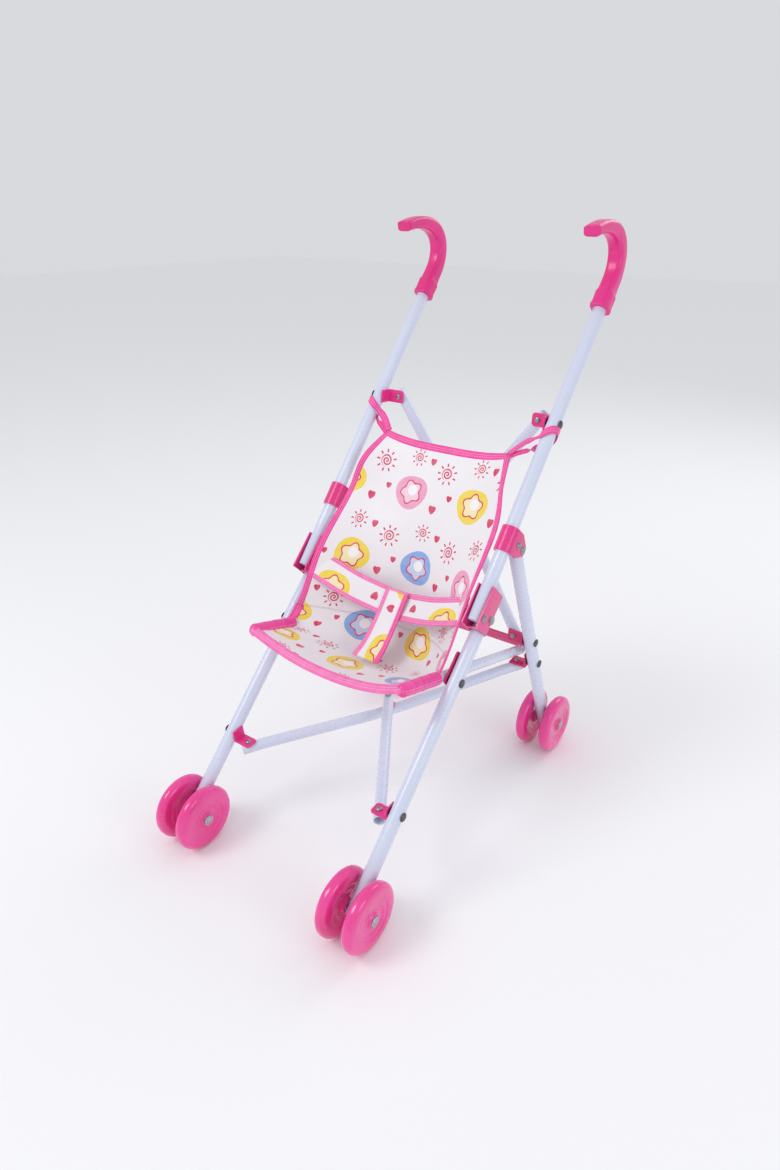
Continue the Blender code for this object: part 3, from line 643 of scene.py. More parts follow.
@dataclass
class TubeFrame:
    """The painted tubes, each a rolled-edge pipe that stands for its CAD node."""

    plan: Plan
    finishes: Finishes
    leg_radius: float = 0.0065
    cross_radius: float = 0.0055
    rail_radius: float = 0.0050
    wall: float = 0.0010
    edge: float = 0.0003
    sides: int = 44

    def pipe(self, name: str, path: np.ndarray, radius: float) -> bpy.types.Object:
        """An open pipe along a path: outer skin, a small rounded lip at each end, and the bore."""
        run = unit(np.diff(path, axis=0))
        first, last = path[0], path[-1]
        inner = radius - self.wall
        line = [first + run[0] * self.edge, *path[1:-1], last - run[-1] * self.edge]
        rings = [(first, radius - self.edge)]
        rings += [(point, radius) for point in line]
        rings += [(last, radius - self.edge), (last, inner + self.edge)]
        rings += [(point, inner) for point in line[::-1]]
        rings += [(first, inner + self.edge)]
        centres = np.array([c for c, _ in rings])
        heading = travel(path)
        headings = [heading[0], heading[0], *heading[1:-1], heading[-1], heading[-1], heading[-1]]
        headings += [heading[-1], *heading[1:-1][::-1], heading[0], heading[0]]
        headings = np.array(headings)
        side = unit(LATERAL - headings * (headings @ LATERAL)[:, None])
        up = np.cross(side, headings)
        ring = circle(1.0, self.sides)
        radii = np.array([r for _, r in rings])[:, None, None]
        points = centres[:, None] + radii * (ring[:, :1] * side[:, None] + ring[:, 1:] * up[:, None])
        return mesh_piece(name, points, self.finishes.paint, loop_way=True, sharp=50)

    def make(self, node: str, radius: float, body: str, bowed: bool = False) -> None:
        """One tube in its CAD node's place."""
        a, b = self.plan.ends(node)
        if bowed:
            run = unit(b - a)
            middle = self.plan.bow(node)
            lift = middle - (a + (b - a) * ((middle - a) @ run / np.linalg.norm(b - a)))
            flat, reach = 3 * radius, np.linalg.norm(b - a)
            centre = (a + b) / 2 + lift
            knots = [a, a + run * 0.0205, centre - run * flat, centre + run * flat, b - run * 0.0205, b]
            corners = np.array(knots)
            path = self.eased(corners)
            LOG.info("%s bows %.1f mm over %.0f mm", node, 1000 * np.linalg.norm(lift), 1000 * reach)
        else:
            path = np.linspace(a, b, 6)
        piece = self.pipe(f"{node}_tube", path, radius)
        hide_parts(node)
        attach(piece, body)

    @staticmethod
    def eased(corners: np.ndarray, reach: float = 0.006, steps: int = 5) -> np.ndarray:
        """A path with each corner replaced by a quadratic curve that starts a reach before it."""
        out = [corners[0]]
        for before, here, after in zip(corners, corners[1:], corners[2:]):
            start, end = here + unit(before - here) * reach, here + unit(after - here) * reach
            t = np.linspace(0, 1, steps)[:, None]
            out.extend((1 - t) ** 2 * start + 2 * t * (1 - t) * here + t**2 * end)
        return np.array([*out, corners[-1]])

    def build(self) -> None:
        """All twelve tubes."""
        for side in SIDES:
            self.make(f"handle_tube_{side}", self.leg_radius, f"{side}_handle")
            self.make(f"front_leg_{side}", self.leg_radius, f"{side}_front_leg")
            self.make(f"rear_leg_{side}", self.leg_radius, f"{side}_rear_leg")
            self.make(f"seat_rail_{side}", self.rail_radius, f"{side}_seat_rail")
            self.make(f"back_cross_tube_{side}", self.cross_radius, f"{side}_back_cross", bowed=True)
            self.make(f"base_cross_tube_{side}", self.cross_radius, f"{side}_base_cross", bowed=True)


# ---------------------------------------------------------------- grips


@dataclass
class Grips:
    """The moulded hooks on the handle tubes."""

    plan: Plan
    finishes: Finishes
    start: float = 0.3140
    sleeve: float = 0.0300
    section: float = 0.0152
    flare: float = 0.0185
    bevel: float = 0.0042
    tip: float = 0.0095
    hook: tuple[tuple[float, float], ...] = ((0.021, 0.025), (0.005, 0.060), (-0.055, 0.046))

    def centre_line(self, side: str) -> tuple[np.ndarray, np.ndarray]:
        """The grip's middle line and the distance along it.

        A straight run up the tube, then a cubic Bezier curve to the hook's tip."""
        up = -self.plan.axis(f"{side}_collar_slide")
        knee = self.plan.pivot(f"{side}_front_leg_fold")
        straight = knee + np.linspace(self.start, self.start + self.sleeve, 16)[:-1, None] * up
        first = knee + (self.start + self.sleeve) * up
        knots = [first] + [first + np.array([0.0, back, rise]) for back, rise in self.hook]
        t = np.linspace(0, 1, 46)[:, None]
        weights = ((1 - t) ** 3, 3 * t * (1 - t) ** 2, 3 * t**2 * (1 - t), t**3)
        path = np.vstack([straight, sum(w * k for w, k in zip(weights, knots))])
        return path, run_length(path)

    def build(self) -> None:
        """Both grips."""
        for side in SIDES:
            path, run = self.centre_line(side)
            end = run[-1]
            stops = np.array([0.0, 0.0006, 0.0035, 0.0045, 0.016, 0.0185, 0.024, 0.040, end - 0.004, end])
            widths = np.array([self.flare - 0.0008, self.flare, self.flare, self.flare - 0.0012, self.flare - 0.0006,
                               self.section + 0.0008, self.section + 0.0002, self.section, self.section, self.section])
            size = np.interp(run, stops, widths)
            shape = rounded_box(1.0, 1.0, self.bevel / self.section, 6)
            thin = np.interp(run, [0.5 * end, end], [1.0, self.tip / self.section])
            sections = size[:, None, None] * shape[None] * np.stack([np.ones_like(thin), thin], -1)[:, None]
            points = carried(path, sections, LATERAL)
            tip = points[-1].mean(0)
            heading = unit(path[-1] - path[-2])
            cap = [tip + (points[-1] - tip) * k + heading * d for k, d in ((0.955, 0.0004), (0.90, 0.0006))]
            sleeve_end = points[0].mean(0)
            down = unit(path[0] - path[1])
            mouth = [sleeve_end + (points[0] - sleeve_end) * k + down * d for k, d in ((0.80, 0.0002), (0.92, 0.0002))]
            points = np.concatenate([np.array(mouth), points, np.array(cap)])
            grip = mesh_piece(f"grip_{side}_hook", points, self.finishes.grip, poles=True, sharp=60)
            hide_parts(f"grip_{side}")
            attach(grip, f"{side}_handle")
            LOG.info("grip %s is %.0f mm along its middle", side, 1000 * end)


# ---------------------------------------------------------------- wheels


@dataclass
class Wheels:
    """Moulded wheels with a stepped face, and the axles with domed caps."""

    plan: Plan
    finishes: Finishes
    radius: float = 0.0320
    half: float = 0.0070
    bore: float = 0.0024
    sides: int = 96
    arcs: int = 5

    def profile(self) -> np.ndarray:
        """The wheel's outline from its inner bore, over the rim, to its outer bore.

        The face steps down from the hub to a shallow dish, then rises in rings to a round rim."""
        r, h = self.radius, self.half
        face = [(0.92 * h, self.bore), (h, self.bore + 0.0006), (h, 0.19 * r), (0.95 * h, 0.215 * r),
                (0.76 * h, 0.235 * r), (0.72 * h, 0.25 * r), (0.72 * h, 0.40 * r), (0.745 * h, 0.42 * r),
                (0.79 * h, 0.43 * r), (0.81 * h, 0.46 * r), (0.80 * h, 0.58 * r), (0.825 * h, 0.60 * r),
                (0.87 * h, 0.61 * r), (0.90 * h, 0.64 * r), (0.90 * h, 0.76 * r)]
        t = np.linspace(0.18, 1.0, 11)
        rim = [(0.90 * h * math.cos(a * math.pi / 2) ** 0.8, (0.76 + 0.24 * math.sin(a * math.pi / 2)) * r)
               for a in t[:-1]]
        side = np.array(face + rim)
        return np.vstack([side * (-1, 1), [(0.0, r)], side[::-1]])

    def wheel(self, node: str, hub: np.ndarray) -> bpy.types.Object:
        """One wheel, with shallow curved ribs in its dish."""
        profile = self.profile()
        points = turned(hub, LATERAL, profile, self.sides)
        offset = points - hub
        radius = np.linalg.norm(offset[..., 1:], axis=-1)
        angle = np.arctan2(offset[..., 2], offset[..., 1])
        share = np.clip((radius - 0.26 * self.radius) / (0.46 * self.radius), 0, 1)
        swirl = np.maximum(np.cos(self.arcs * angle + 5.0 * share), 0) ** 6
        raised = 0.00035 * swirl * np.sin(np.pi * share) ** 0.5
        points[..., 0] += np.sign(offset[..., 0]) * raised
        return mesh_piece(f"{node}_moulding", points, self.finishes.wheel, loop_way=True, sharp=55)

    def axle(self, node: str, hub: np.ndarray, reach: float) -> bpy.types.Object:
        """An axle rod with a pressed dome on each end."""
        cap, rod = 0.0052, 0.0020
        t = np.linspace(0, np.pi / 2, 7)
        dome = [(reach + 0.0004 + 0.0013 * math.sin(a), cap * 0.9 * math.cos(a)) for a in t[:-1]]
        side = [(reach + 0.0002, rod), (reach + 0.0002, cap), (reach + 0.0006, cap), *dome, (reach + 0.0017, 0.0002)]
        side = np.array(side)
        profile = np.vstack([side[::-1] * (-1, 1), side])
        return mesh_piece(f"{node}_rod", turned(hub, LATERAL, profile, 32), self.finishes.axle, poles=True, sharp=35)

    def build(self) -> None:
        """Eight wheels and four axles."""
        for side in SIDES:
            for end in ("front", "rear"):
                hubs = []
                for place in ("outer", "inner"):
                    node = f"{end}_wheel_{side}_{place}"
                    hub = self.plan.pivot(f"{node}_spin")
                    hubs.append(hub)
                    wheel = self.wheel(node, hub)
                    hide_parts(node)
                    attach(wheel, node)
                reach = abs(hubs[0][0] - hubs[1][0]) / 2 + self.half
                axle = self.axle(f"{end}_axle_{side}", sum(hubs) / 2, reach)
                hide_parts(f"{end}_axle_{side}")
                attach(axle, f"{side}_{end}_leg")
                LOG.info("%s %s wheels stand %.0f mm high", side, end, 2000 * self.radius)


# ---------------------------------------------------------------- fittings and rivets


class Cross(Enum):
    """The frame's two crosses of tubes."""

    BACK = "back_cross"
    BASE = "base_cross"


@dataclass
class Fittings:
    """The moulded brackets and the rivets."""

    plan: Plan
    finishes: Finishes
    bevel: float = 0.00045
    head: float = 0.0042
    head_height: float = 0.0020
    tube: float = 0.0065
    plate: float = 0.0016
    ear_reach: float = 0.0037
    small_head: float = 0.0029
    foot_inset: float = 0.007

    def round_lug(self, bm: bmesh.types.BMesh, pivot: np.ndarray, axis: np.ndarray, radius: float = 0.0034) -> None:
        """Rounds the two free corners of a bracket's ear: its short edges along the pin, on the far side of it."""
        inwards = -math.copysign(1.0, pivot[0])
        picked = []
        for edge in bm.edges:
            a, b = (np.array(v.co) for v in edge.verts)
            past = ((a + b) / 2 - pivot)[0] * inwards
            short = np.linalg.norm(b - a) < 2 * self.plate
            if short and abs(unit(b - a) @ axis) > 0.98 and past > 0.0030 and edge.calc_face_angle(0.0) > 1.0:
                picked.append(edge)
        bmesh.ops.bevel(bm, geom=picked, offset=radius, segments=6, profile=0.5, affect="EDGES", clamp_overlap=True)

    def softened(self, node: str, body: str, finish: bpy.types.Material, pin: Optional[str] = None) -> None:
        """A copy of a CAD moulding with its flat faces joined up and its edges rounded.

        Args:
            node: the CAD node.
            body: the body that it rides on.
            finish: its material.
            pin: the joint whose pin goes through the moulding's ear, where it has one.
        """
        mesh = self.plan.nodes[node].data.copy()
        bm = bmesh.new()
        bm.from_mesh(mesh)
        bmesh.ops.remove_doubles(bm, verts=bm.verts, dist=1e-6)
        bmesh.ops.dissolve_limit(bm, angle_limit=math.radians(1.0), verts=bm.verts, edges=bm.edges)
        if pin:
            self.round_lug(bm, self.plan.pivot(pin), unit(self.plan.axis(pin)))
        bm.to_mesh(mesh)
        bm.free()
        mesh.materials.clear()
        mesh.materials.append(finish)
        mesh.shade_smooth()
        mesh.set_sharp_from_angle(angle=math.radians(35))
        obj = bpy.data.objects.new(f"{node}_moulding", mesh)
        bpy.context.scene.collection.objects.link(obj)
        step = obj.modifiers.new("soft_edges", "BEVEL")
        step.width = self.bevel
        step.segments = 3
        step.limit_method = "ANGLE"
        step.angle_limit = math.radians(35)
        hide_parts(node)
        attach(obj, body)

    def rivet(self, name: str, centre: np.ndarray, axis: np.ndarray, half: float, body: str,
              finish: bpy.types.Material, both: bool = True, head: Optional[float] = None) -> bpy.types.Object:
        """A domed rivet across what it holds: half is the distance from its middle to each face."""
        head = head or self.head
        t = np.linspace(0, np.pi / 2, 8)[:-1]
        dome = [(half + 0.0003 + self.head_height * 0.75 * math.sin(a), head * math.cos(a)) for a in t]
        side = np.array([(half, 0.0014), (half, head), *dome, (half + self.head_height * 0.8, 0.0002)])
        other = side[::-1] * (-1, 1) if both else np.array([(half - 0.003, 0.0002), (half - 0.003, 0.0014)])
        obj = mesh_piece(name, turned(centre, axis, np.vstack([other, side]), 28), finish, poles=True, sharp=60)
        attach(obj, body)
        return obj

    def fasteners(self, side: str, sign: float) -> None:
        """One side's rivets."""
        plan, f = self.plan, self.finishes
        knee = plan.pivot(f"{side}_front_leg_fold")
        front_hub = plan.pivot(f"front_wheel_{side}_outer_spin")
        ear_pivot = plan.pivot(f"{side}_front_bracket_turn")
        leg_up = unit(ear_pivot - (front_hub * (0, 1, 1) + ear_pivot * (1, 0, 0)))
        wall = self.tube + GAP + self.plate
        made = self.rivet(f"knee_pivot_{side}_rivet", knee, LATERAL, wall, f"{side}_handle", f.rivet)
        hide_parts(f"knee_pivot_{side}")
        square = np.array([0.0, leg_up[2], -leg_up[1]])
        leg_rivet = knee + leg_up * 0.004 + square * 0.0150
        self.rivet(f"knee_leg_rivet_{side}", leg_rivet, LATERAL, wall, f"{side}_front_leg", f.rivet)
        collar = plan.pivot(f"{side}_rear_leg_fold")
        up = -plan.axis(f"{side}_collar_slide")
        back = np.array([0.0, up[2], -up[1]])
        made = self.rivet(f"collar_pivot_{side}_rivet", collar, LATERAL, wall + GAP, f"{side}_collar", f.rivet)
        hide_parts(f"collar_pivot_{side}")
        keeper = collar - back * 0.0114
        self.rivet(f"collar_keeper_rivet_{side}", keeper, LATERAL, wall + GAP, f"{side}_collar", f.rivet, head=0.0038)
        clip = plan.pivot(f"{side}_rail_turn")
        inner = LATERAL * sign
        self.rivet(f"rail_rivet_{side}", clip, LATERAL, self.tube, f"{side}_front_leg", f.dark_rivet)
        self.rivet(f"rail_clip_rivet_{side}", clip + leg_up * 0.018 - inner * (wall + GAP), -inner, 0.0003,
                   f"{side}_front_leg", f.rivet, both=False, head=0.0024)
        for joint, body in (("upper_bracket_turn", "handle"), ("front_bracket_turn", "front_leg"),
                            ("rear_upper_bracket_turn", "rear_leg"), ("rear_lower_bracket_turn", "rear_leg")):
            point = plan.pivot(f"{side}_{joint}") * (0, 1, 1) + knee * (1, 0, 0)
            name = joint.replace("_turn", "")
            self.rivet(f"{name}_rivet_{side}", point, LATERAL, self.tube, f"{side}_{body}", f.dark_rivet)
        for cross in Cross:
            self.cross_rivets(side, sign, cross)
        brace = plan.pivot(f"{side}_brace_fold")
        rear = unit(plan.axis("left_brace_fold"))
        rear = rear if rear[1] > 0 else -rear
        self.rivet(f"brace_end_rivet_{side}", brace + rear * 0.0012, rear, 0.0010, f"{side}_brace", f.rivet, both=False,
                   head=self.small_head)

    def cross_rivets(self, side: str, sign: float, cross: Cross) -> None:
        """The rivets at the two ends of one tube of a cross.

        Args:
            side: the side of the tube's near end.
            sign: 1 on the left, -1 on the right.
            cross: which of the two crosses.
        """
        stem, at_back = cross.value, cross is Cross.BACK
        normal = self.plan.axis(f"{side}_{stem}_turn") * sign
        normal = normal if (normal[1] < 0 if at_back else normal[2] > 0) else -normal
        pivot = self.plan.pivot(f"{side}_{stem}_turn")
        near = "upper_bracket" if at_back else "front_bracket"
        far = "rear_upper_bracket" if at_back else "rear_lower_bracket"
        self.rivet(f"{stem}_ear_rivet_{side}", pivot + normal * self.ear_reach, normal, self.ear_reach + 0.0001,
                   f"{side}_{near}", self.finishes.rivet, both=False, head=self.small_head)
        ends = self.plan.ends(f"{stem}_tube_{side}")
        start, end = ends if at_back else ends[::-1]
        foot = end + unit(start - end) * self.foot_inset
        other = "right" if side == "left" else "left"
        self.rivet(f"{stem}_foot_rivet_{other}", foot + normal * self.ear_reach, normal, self.ear_reach + 0.0001,
                   f"{other}_{far}", self.finishes.rivet, both=False, head=self.small_head)

    def build(self) -> None:
        """Every moulding and rivet."""
        f = self.finishes
        for side, sign in SIDES.items():
            for stem, body, finish in (
                ("collar", "collar", f.fitting), ("knee_bracket", "front_leg", f.fitting),
                ("rail_clip", "front_leg", f.lever), ("upper_bracket", "upper_bracket", f.fitting),
                ("rear_upper_bracket", "rear_upper_bracket", f.lever), ("front_bracket", "front_bracket", f.fitting),
                ("rear_lower_bracket", "rear_lower_bracket", f.lever), ("brace_half", "brace", f.lever),
            ):
                pin = {"upper_bracket": f"{side}_back_cross_turn", "front_bracket": f"{side}_base_cross_turn"}.get(stem)
                self.softened(f"{stem}_{side}", f"{side}_{body}", finish, pin)
            self.fasteners(side, sign)
            screw = self.plan.nodes[f"grip_screw_{side}"]
            screw.data.materials.clear()
            screw.data.materials.append(f.rivet)
        for node, finish in (("back_cross_spacer", f.fitting), ("base_cross_spacer", f.fitting),
                             ("back_cross_bolt", f.rivet), ("base_cross_bolt", f.rivet), ("brace_rivet", f.rivet)):
            self.plan.nodes[node].data.materials.clear()
            self.plan.nodes[node].data.materials.append(finish)
        LOG.info("fittings and rivets are on")


# ---------------------------------------------------------------- sling seat


@dataclass
class SlingSeat:
    """The fabric: backrest, pan, hems, belt, crotch strap and the loops at the top corners.

    The sheet hangs between its two side edges and a deep middle line. A row runs from one edge to
    the other, at middle + (edge - middle) * |t| ** fullness, where t goes from -1 to 1."""

    plan: Plan
    finishes: Finishes
    knots: tuple[float, ...] = (0.0, 0.12, 0.34, 0.54, 0.68, 0.76, 0.88, 1.0)
    edge: tuple[tuple[float, float, float], ...] = (
        (0.070, 0.097, 0.118), (0.0785, 0.074, 0.100), (0.0855, 0.052, 0.062), (0.0885, 0.004, 0.012),
        (0.0880, -0.0265, -0.0340), (0.0880, -0.0410, -0.0465), (0.0880, -0.0670, -0.0400), (0.0875, -0.0930, -0.0315))
    middle: tuple[tuple[float, float], ...] = (
        (0.094, 0.113), (0.084, 0.092), (0.064, 0.056), (0.044, 0.004),
        (0.026, -0.052), (0.006, -0.074), (-0.042, -0.069), (-0.089, -0.0515))
    fold_line: float = 0.685
    rows: int = 150
    cols: int = 90
    cloth: float = 0.0009
    tape_width: float = 0.0062
    tape_thick: float = 0.0016

    def __post_init__(self) -> None:
        """Finds the knee, which the sheet's sizes are measured from."""
        self.knee = self.plan.pivot("left_front_leg_fold") * (0, 1, 1)
        self.anchor = tuple(self.plan.pivot("left_front_leg_fold"))

    def sheet_points(self, s: np.ndarray, t: np.ndarray) -> np.ndarray:
        """Points of the sheet at s down its length and t across it, with soft folds."""
        edge = blended(s, self.knots, self.edge)
        middle = blended(s, self.knots, self.middle)
        t = np.broadcast_to(t, s.shape)
        fullness = 2.2 + 1.2 * np.exp(-(((s - 0.1) / 0.2) ** 2))
        lift = np.abs(t) ** fullness
        side = np.sign(t) * (np.abs(t) * edge[..., 0])
        y = middle[..., 0] + (edge[..., 1] - middle[..., 0]) * lift
        z = middle[..., 1] + (edge[..., 2] - middle[..., 1]) * lift
        free = (1 - np.abs(t) ** 4)
        seat = np.exp(-(((s - 0.68) / 0.13) ** 2))
        back = np.exp(-(((s - 0.28) / 0.22) ** 2))
        pan = np.exp(-(((s - 0.88) / 0.10) ** 2))
        fold = 0.0019 * seat * np.sin(7.0 * t + 9.0 * s) + 0.0014 * back * np.sin(5.2 * t + 4.0 * s + 0.8)
        fold += 0.0011 * pan * np.sin(9.0 * t - 14.0 * s) + 0.0008 * np.sin(15.0 * t + 22.0 * s) * seat
        fold += 0.0009 * back * np.sin(13.0 * s + 3.0 * t * t)
        y = y - 0.75 * fold * free
        z = z + 0.66 * fold * free
        return np.stack([side, y, z], -1) + self.knee

    def flatten(self, piece: bpy.types.Object, body: str) -> None:
        """Rides a fabric piece on a body and gives it its own copy of its mesh."""
        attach(piece, body)
        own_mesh(piece)

    def panel(self, name: str, low: float, high: float, body: str) -> bpy.types.Object:
        """One stretch of the sheet, with its UV map in metres across and along it."""
        rows = int(self.rows * (high - low))
        s = np.linspace(low, high, rows)[:, None] * np.ones((1, self.cols))
        t = np.ones((rows, 1)) * np.linspace(-1, 1, self.cols)[None]
        points = self.sheet_points(s, t)
        across = np.linalg.norm(np.diff(points, axis=1), axis=-1)
        across = np.concatenate([np.zeros((rows, 1)), np.cumsum(across, 1)], 1)
        across -= across[:, [self.cols // 2]]
        line = self.sheet_points(np.linspace(0, 1, 400), np.zeros(400))
        along = np.interp(s, np.linspace(0, 1, 400), run_length(line))
        piece = mesh_piece(name, points, self.finishes.print, round_way=False, uv=np.stack([across, -along], -1))
        solid = piece.modifiers.new("cloth", "SOLIDIFY")
        solid.thickness = self.cloth
        solid.offset = 0.0
        self.flatten(piece, body)
        return piece

    def tape(self, name: str, path: np.ndarray, facing: np.ndarray, body: Optional[str], width: Optional[float] = None,
             pale: bool = False, thick: Optional[float] = None) -> bpy.types.Object:
        """A bound edge: a flattened oval of tape carried along a path, its flat side facing a way.

        Args:
            name: the piece's name.
            path: the tape's middle line.
            facing: the direction of the tape's thickness, one or for each point.
            body: what it rides on, or nothing where the caller attaches it itself.
            width: across the tape.
            pale: whether it is the paler tape.
            thick: its thickness.

        Returns:
            The tape, with its UV map in metres along and across.
        """
        width, thick = width or self.tape_width, thick or self.tape_thick
        t = np.linspace(0, 2 * np.pi, 17)
        oval = np.stack([0.5 * width * np.sign(np.cos(t)) * np.abs(np.cos(t)) ** 0.55,
                         0.5 * thick * np.sign(np.sin(t)) * np.abs(np.sin(t)) ** 0.75], -1)
        run = travel(path)
        side = unit(np.cross(run, np.broadcast_to(facing, path.shape)))
        points = carried(path, oval, side)
        along = run_length(path)[:, None] * np.ones((1, len(t)))
        uv = np.stack([along, np.ones((len(path), 1)) * oval[None, :, 0]], -1)
        material = self.finishes.pale if pale else self.finishes.tape
        piece = mesh_piece(name, points, material, round_way=False, uv=uv, sharp=80)
        close_tube(piece)
        if body:
            self.flatten(piece, body)
        return piece

    def edge_line(self, low: float, high: float, t: float, count: int = 60) -> np.ndarray:
        """A line down the sheet at t."""
        return self.sheet_points(np.linspace(low, high, count), np.full(count, t))

    def row_line(self, s: float, count: int = 70) -> np.ndarray:
        """A line across the sheet at s."""
        return self.sheet_points(np.full(count, s), np.linspace(-1, 1, count))

    def facing(self, s: "float | np.ndarray", t: "float | np.ndarray") -> np.ndarray:
        """The sheet's own normal, towards whoever sits on it."""
        s, t = np.broadcast_arrays(np.asarray(s, float), np.asarray(t, float))
        step = 0.01
        down = self.sheet_points(np.clip(s + step, 0, 1), t) - self.sheet_points(np.clip(s - step, 0, 1), t)
        over = self.sheet_points(s, np.clip(t + step, -1, 1)) - self.sheet_points(s, np.clip(t - step, -1, 1))
        return unit(np.cross(down, over))

    def hems(self) -> None:
        """The bound edges of backrest and pan, and the sleeves that hold the seat rails."""
        for side, sign in SIDES.items():
            s = np.linspace(0.0, self.fold_line, 80)
            line = self.edge_line(0.0, self.fold_line, sign, 80)
            self.tape(f"backrest_side_binding_{side}", line, self.facing(s, 0.97 * sign), "left_upper_bracket")
            self.sleeve(side, sign)
        s = np.zeros(70)
        self.tape("backrest_top_binding", self.row_line(0.0), self.facing(s, np.linspace(-0.99, 0.99, 70)),
                  "left_upper_bracket", width=0.0078)
        forward = unit(self.facing(s + 1, np.linspace(-0.99, 0.99, 70)) + np.array([0.0, -1.1, 0.0]))
        drop = np.array([0.0, -0.0012, -0.0010])
        self.tape("pan_front_binding", self.row_line(1.0) + drop, forward, "left_seat_rail", width=0.0090, pale=True,
                  thick=0.0026)
        for side, sign in SIDES.items():
            s = np.linspace(self.fold_line, 0.86, 30)
            line = self.edge_line(self.fold_line, 0.86, sign, 30)
            self.tape(f"pan_side_binding_{side}", line, self.facing(s, 0.97 * sign), "left_seat_rail", width=0.0085)

    def sleeve(self, side: str, sign: float) -> None:
        """The hem sewn round a seat rail, open at its rear, closed round the rail's front end."""
        high, low = self.plan.ends(f"seat_rail_{side}")
        run = unit(low - high)
        stop = np.linalg.norm(self.plan.pivot(f"{side}_rail_turn") * (0, 1, 1) - high * (0, 1, 1))
        reach = np.linspace(-0.0016, stop - 0.010, 40)
        path = high + reach[:, None] * run
        ease = np.clip((reach - reach[0]) / 0.006, 0, 1)
        size = 0.35 + 0.65 * np.sqrt(np.clip(1 - (1 - ease) ** 2, 0, 1))
        flutter = 1 + 0.025 * np.sin(reach * 900.0) + 0.02 * np.sin(reach * 410.0 + 1.0)
        t = np.linspace(0, 2 * np.pi, 40, endpoint=False)
        oval = np.stack([np.cos(t), np.sin(t)], -1) * np.array([0.0060, 0.0064])
        sections = (size * flutter)[:, None, None] * oval[None]
        points = carried(path, sections, LATERAL)
        piece = mesh_piece(f"pan_side_sleeve_{side}", points, self.finishes.fitting, poles=True)
        piece.data.materials.clear()
        piece.data.materials.append(self.finishes.tape)
        layer = piece.data.uv_layers.new(name="cloth")
        loops = np.zeros(len(piece.data.loops), np.int32)
        piece.data.loops.foreach_get("vertex_index", loops)
        place = np.minimum(loops, points.shape[0] * points.shape[1] - 1)
        uv = np.stack([reach[place // points.shape[1]], 0.0060 * np.sin(t[place % points.shape[1]])], -1)
        layer.data.foreach_set("uv", uv.astype(np.float32).ravel())
        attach(piece, f"{side}_seat_rail")

    def band(self, name: str, path: np.ndarray, across: np.ndarray, width: float, body: str,
             thick: float = 0.0012) -> bpy.types.Object:
        """A strap of printed cloth: a thin flat section carried along a path."""
        v = np.linspace(-0.5, 0.5, 13)
        section = np.stack([v * width, np.zeros_like(v)], -1)
        points = carried(path, section, across)
        normal = unit(np.cross(travel(path), np.broadcast_to(across, path.shape)))
        points = points + normal[:, None] * (0.0007 * np.cos(np.pi * v))[None, :, None]
        uv = np.stack([run_length(path)[:, None] + 0 * v, v * width + 0.3 + 0 * path[:, :1]], -1)
        piece = mesh_piece(name, points, self.finishes.print, round_way=False, uv=uv)
        solid = piece.modifiers.new("cloth", "SOLIDIFY")
        solid.thickness = thick
        solid.offset = 0.0
        self.flatten(piece, body)
        return piece

    def harness(self) -> None:
        """The waist belt in two halves, the crotch strap over them, and their bindings."""
        width = 0.0235
        down = unit(np.array([0.0, -0.68, -0.73]))
        for side, sign in SIDES.items():
            u = np.linspace(0.07, 1.0, 48)
            reach = 0.0885 * u
            sag = 1 - u**1.6
            y = 0.0005 + 0.014 * sag + 0.0007 * np.sin(9 * u)
            z = 0.001 - 0.026 * sag
            path = np.stack([sign * reach, y, z], -1) + self.knee
            band = self.band(f"belt_{side}", path, down, width, "left_handle")
            if side == "left":
                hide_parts("waist_belt")
            normal = unit(np.cross(travel(path), np.broadcast_to(down, path.shape)))
            for label, place in (("upper", -1), ("lower", 1)):
                across = unit(down - travel(path) * (travel(path) @ down)[:, None])
                edge = path + across * (place * width / 2)
                self.tape(f"belt_{label}_binding_{side}", edge, normal, "left_handle", width=0.0058, pale=True)
        route = [(0.0, 0.0205, -0.0145), (0.0, 0.0125, -0.0245), (0.0, 0.0025, -0.0370), (0.0, -0.0090, -0.0495),
                 (0.0, -0.0205, -0.0590), (0.0, -0.0330, -0.0655)]
        path = smooth_path(np.array(route) + self.knee, 46)
        share = np.linspace(0, 1, 46)
        normal = unit(np.cross(LATERAL[None], travel(path)))
        normal = np.where((normal[:, 1:2] < 0) | (normal[:, 2:] > 0), normal, -normal)
        path = path + normal * 0.0019
        strap = self.band("crotch_strap_band", path, LATERAL, 0.0200, "left_handle")
        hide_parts("crotch_strap")
        for side, sign in SIDES.items():
            edge = path + LATERAL * sign * (0.0105 + 0.0025 * share**3)[:, None]
            self.tape(f"crotch_binding_{side}", edge, normal, "left_handle", width=0.0062, pale=sign < 0)
        hem = path[0] + np.linspace(-0.0125, 0.0125, 12)[:, None] * LATERAL
        self.tape("crotch_top_binding", hem, normal[0], "left_handle", width=0.0050, pale=True)

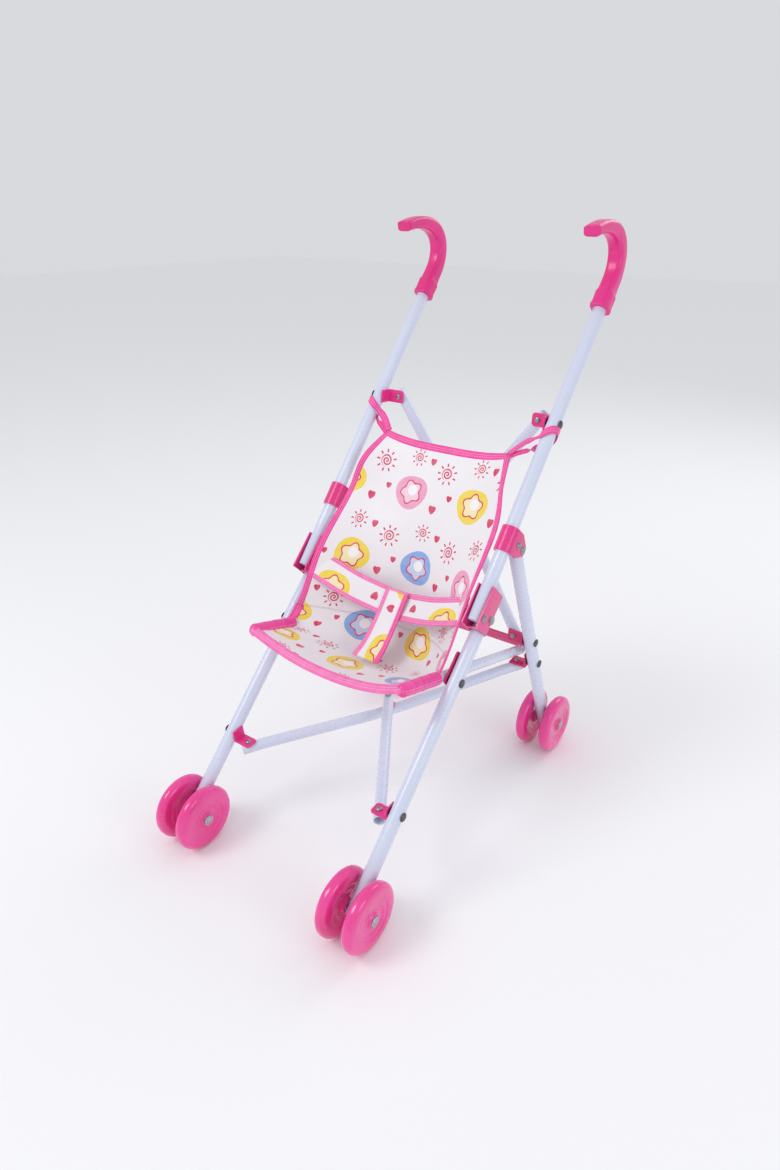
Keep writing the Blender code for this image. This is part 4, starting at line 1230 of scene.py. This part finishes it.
    def loops(self) -> None:
        """The ties at the top corners: a tape that goes out to the handle tube, round it and back."""
        up = -self.plan.axis("left_collar_slide")
        back = np.array([0.0, up[2], -up[1]])
        for side, sign in SIDES.items():
            knee = self.plan.pivot(f"{side}_front_leg_fold")
            corner = self.sheet_points(np.array([0.0]), np.array([sign]))[0]
            centre = knee + up * 0.179
            out, r = LATERAL * sign, 0.0078
            wrap = []
            for k, turn in enumerate(np.radians(np.linspace(-150, 150, 13))):
                rise = up * (0.008 * (k / 12 - 0.5) + 0.007 * math.cos(turn))
                wrap.append(centre + rise + (out * math.cos(turn) - back * math.sin(turn)) * r)
            knots = [corner, corner * 0.55 + wrap[0] * 0.45 - back * 0.001, *wrap,
                     corner * 0.5 + wrap[-1] * 0.5 + up * 0.004, corner + up * 0.003]
            path = smooth_path(knots, 110)
            around = path - centre
            outward_way = unit(around - up * (around @ up)[:, None])
            share = np.clip(np.linalg.norm(around - up * (around @ up)[:, None], axis=1)[:, None] / r - 1, 0, 1)
            facing = unit(outward_way * (1 - 0.6 * share) + back * -0.6 * share)
            piece = self.tape(f"corner_loop_{side}", path, facing, None, width=0.0072, thick=0.0011)
            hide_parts(f"strap_loop_{side}")
            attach(piece, f"{side}_handle")

    def build(self) -> None:
        """All the fabric."""
        backrest = self.panel("sling_backrest", 0.0, self.fold_line, "left_upper_bracket")
        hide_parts("seat_sling")
        self.panel("sling_pan", self.fold_line, 1.0, "left_seat_rail")
        self.hems()
        self.harness()
        self.loops()


def close_tube(piece: bpy.types.Object) -> None:
    """Joins a tape's two long edges, fills its ends and turns its faces outwards."""
    bm = bmesh.new()
    bm.from_mesh(piece.data)
    bmesh.ops.remove_doubles(bm, verts=bm.verts, dist=1e-7)
    bmesh.ops.holes_fill(bm, edges=[e for e in bm.edges if e.is_boundary], sides=40)
    bmesh.ops.recalc_face_normals(bm, faces=bm.faces)
    bm.to_mesh(piece.data)
    bm.free()
    piece.data.shade_smooth()


# ---------------------------------------------------------------- studio


@dataclass
class Studio:
    """Floor, lights and camera."""

    azimuth: float = 36.69
    elevation: float = 25.75
    position: tuple[float, float, float] = (0.4193, -0.5694, 0.5727)
    lens: float = 37.29

    def build(self) -> None:
        """Sets up the view and the light."""
        scene = bpy.context.scene
        scene.view_settings.view_transform = "Standard"
        camera = bpy.data.cameras.new("view")
        camera.lens, camera.sensor_width, camera.sensor_fit = self.lens, 36.0, "HORIZONTAL"
        holder = bpy.data.objects.new("view", camera)
        holder.location = self.position
        holder.rotation_euler = (math.radians(90 - self.elevation), 0.0, math.radians(self.azimuth))
        scene.collection.objects.link(holder)
        scene.camera = holder
        world = bpy.data.worlds.new("pale_room")
        world.use_nodes = True
        world.node_tree.nodes["Background"].inputs[0].default_value = (0.96, 0.97, 1.0, 1.0)
        world.node_tree.nodes["Background"].inputs[1].default_value = 0.72
        scene.world = world
        for name, place, size, power in (("key", (-0.7, -1.2, 1.5), 0.7, 9.0), ("side", (1.5, -0.2, 0.7), 0.6, 2.5),
                                         ("rim", (0.3, 1.4, 1.2), 0.8, 4.0)):
            lamp = bpy.data.lights.new(name, "AREA")
            lamp.energy, lamp.size = power, size
            obj = bpy.data.objects.new(name, lamp)
            obj.location = place
            aim = Vector((0.0, 0.0, 0.28)) - Vector(place)
            obj.rotation_euler = aim.to_track_quat("-Z", "Y").to_euler()
            scene.collection.objects.link(obj)
        reach = 6.0
        floor = bpy.data.meshes.new("floor")
        floor.from_pydata([(-reach, -reach, 0), (reach, -reach, 0), (reach, reach, 0), (-reach, reach, 0)], [], [(0, 1, 2, 3)])
        paint = Paint("pale_floor")
        paint.set(Base_Color=(0.97, 0.97, 0.98, 1.0), Roughness=0.8)
        floor.materials.append(paint.material)
        ground = bpy.data.objects.new("floor", floor)
        scene.collection.objects.link(ground)
        ground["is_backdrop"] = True


def main() -> dict[str, list[list[float]]]:
    """Builds the looks in order.
    """
    logging.basicConfig(level=logging.INFO, format="%(name)s: %(message)s")
    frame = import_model()
    sizes = {"cad": [list(corner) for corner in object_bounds()]}
    plan, finishes = Plan(frame), Finishes()
    Studio().build()
    TubeFrame(plan, finishes).build()
    Grips(plan, finishes).build()
    Wheels(plan, finishes).build()
    Fittings(plan, finishes).build()
    SlingSeat(plan, finishes).build()
    sizes["visual"] = [list(corner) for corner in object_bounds()]
    return sizes


if __name__ == "__main__":
    main()
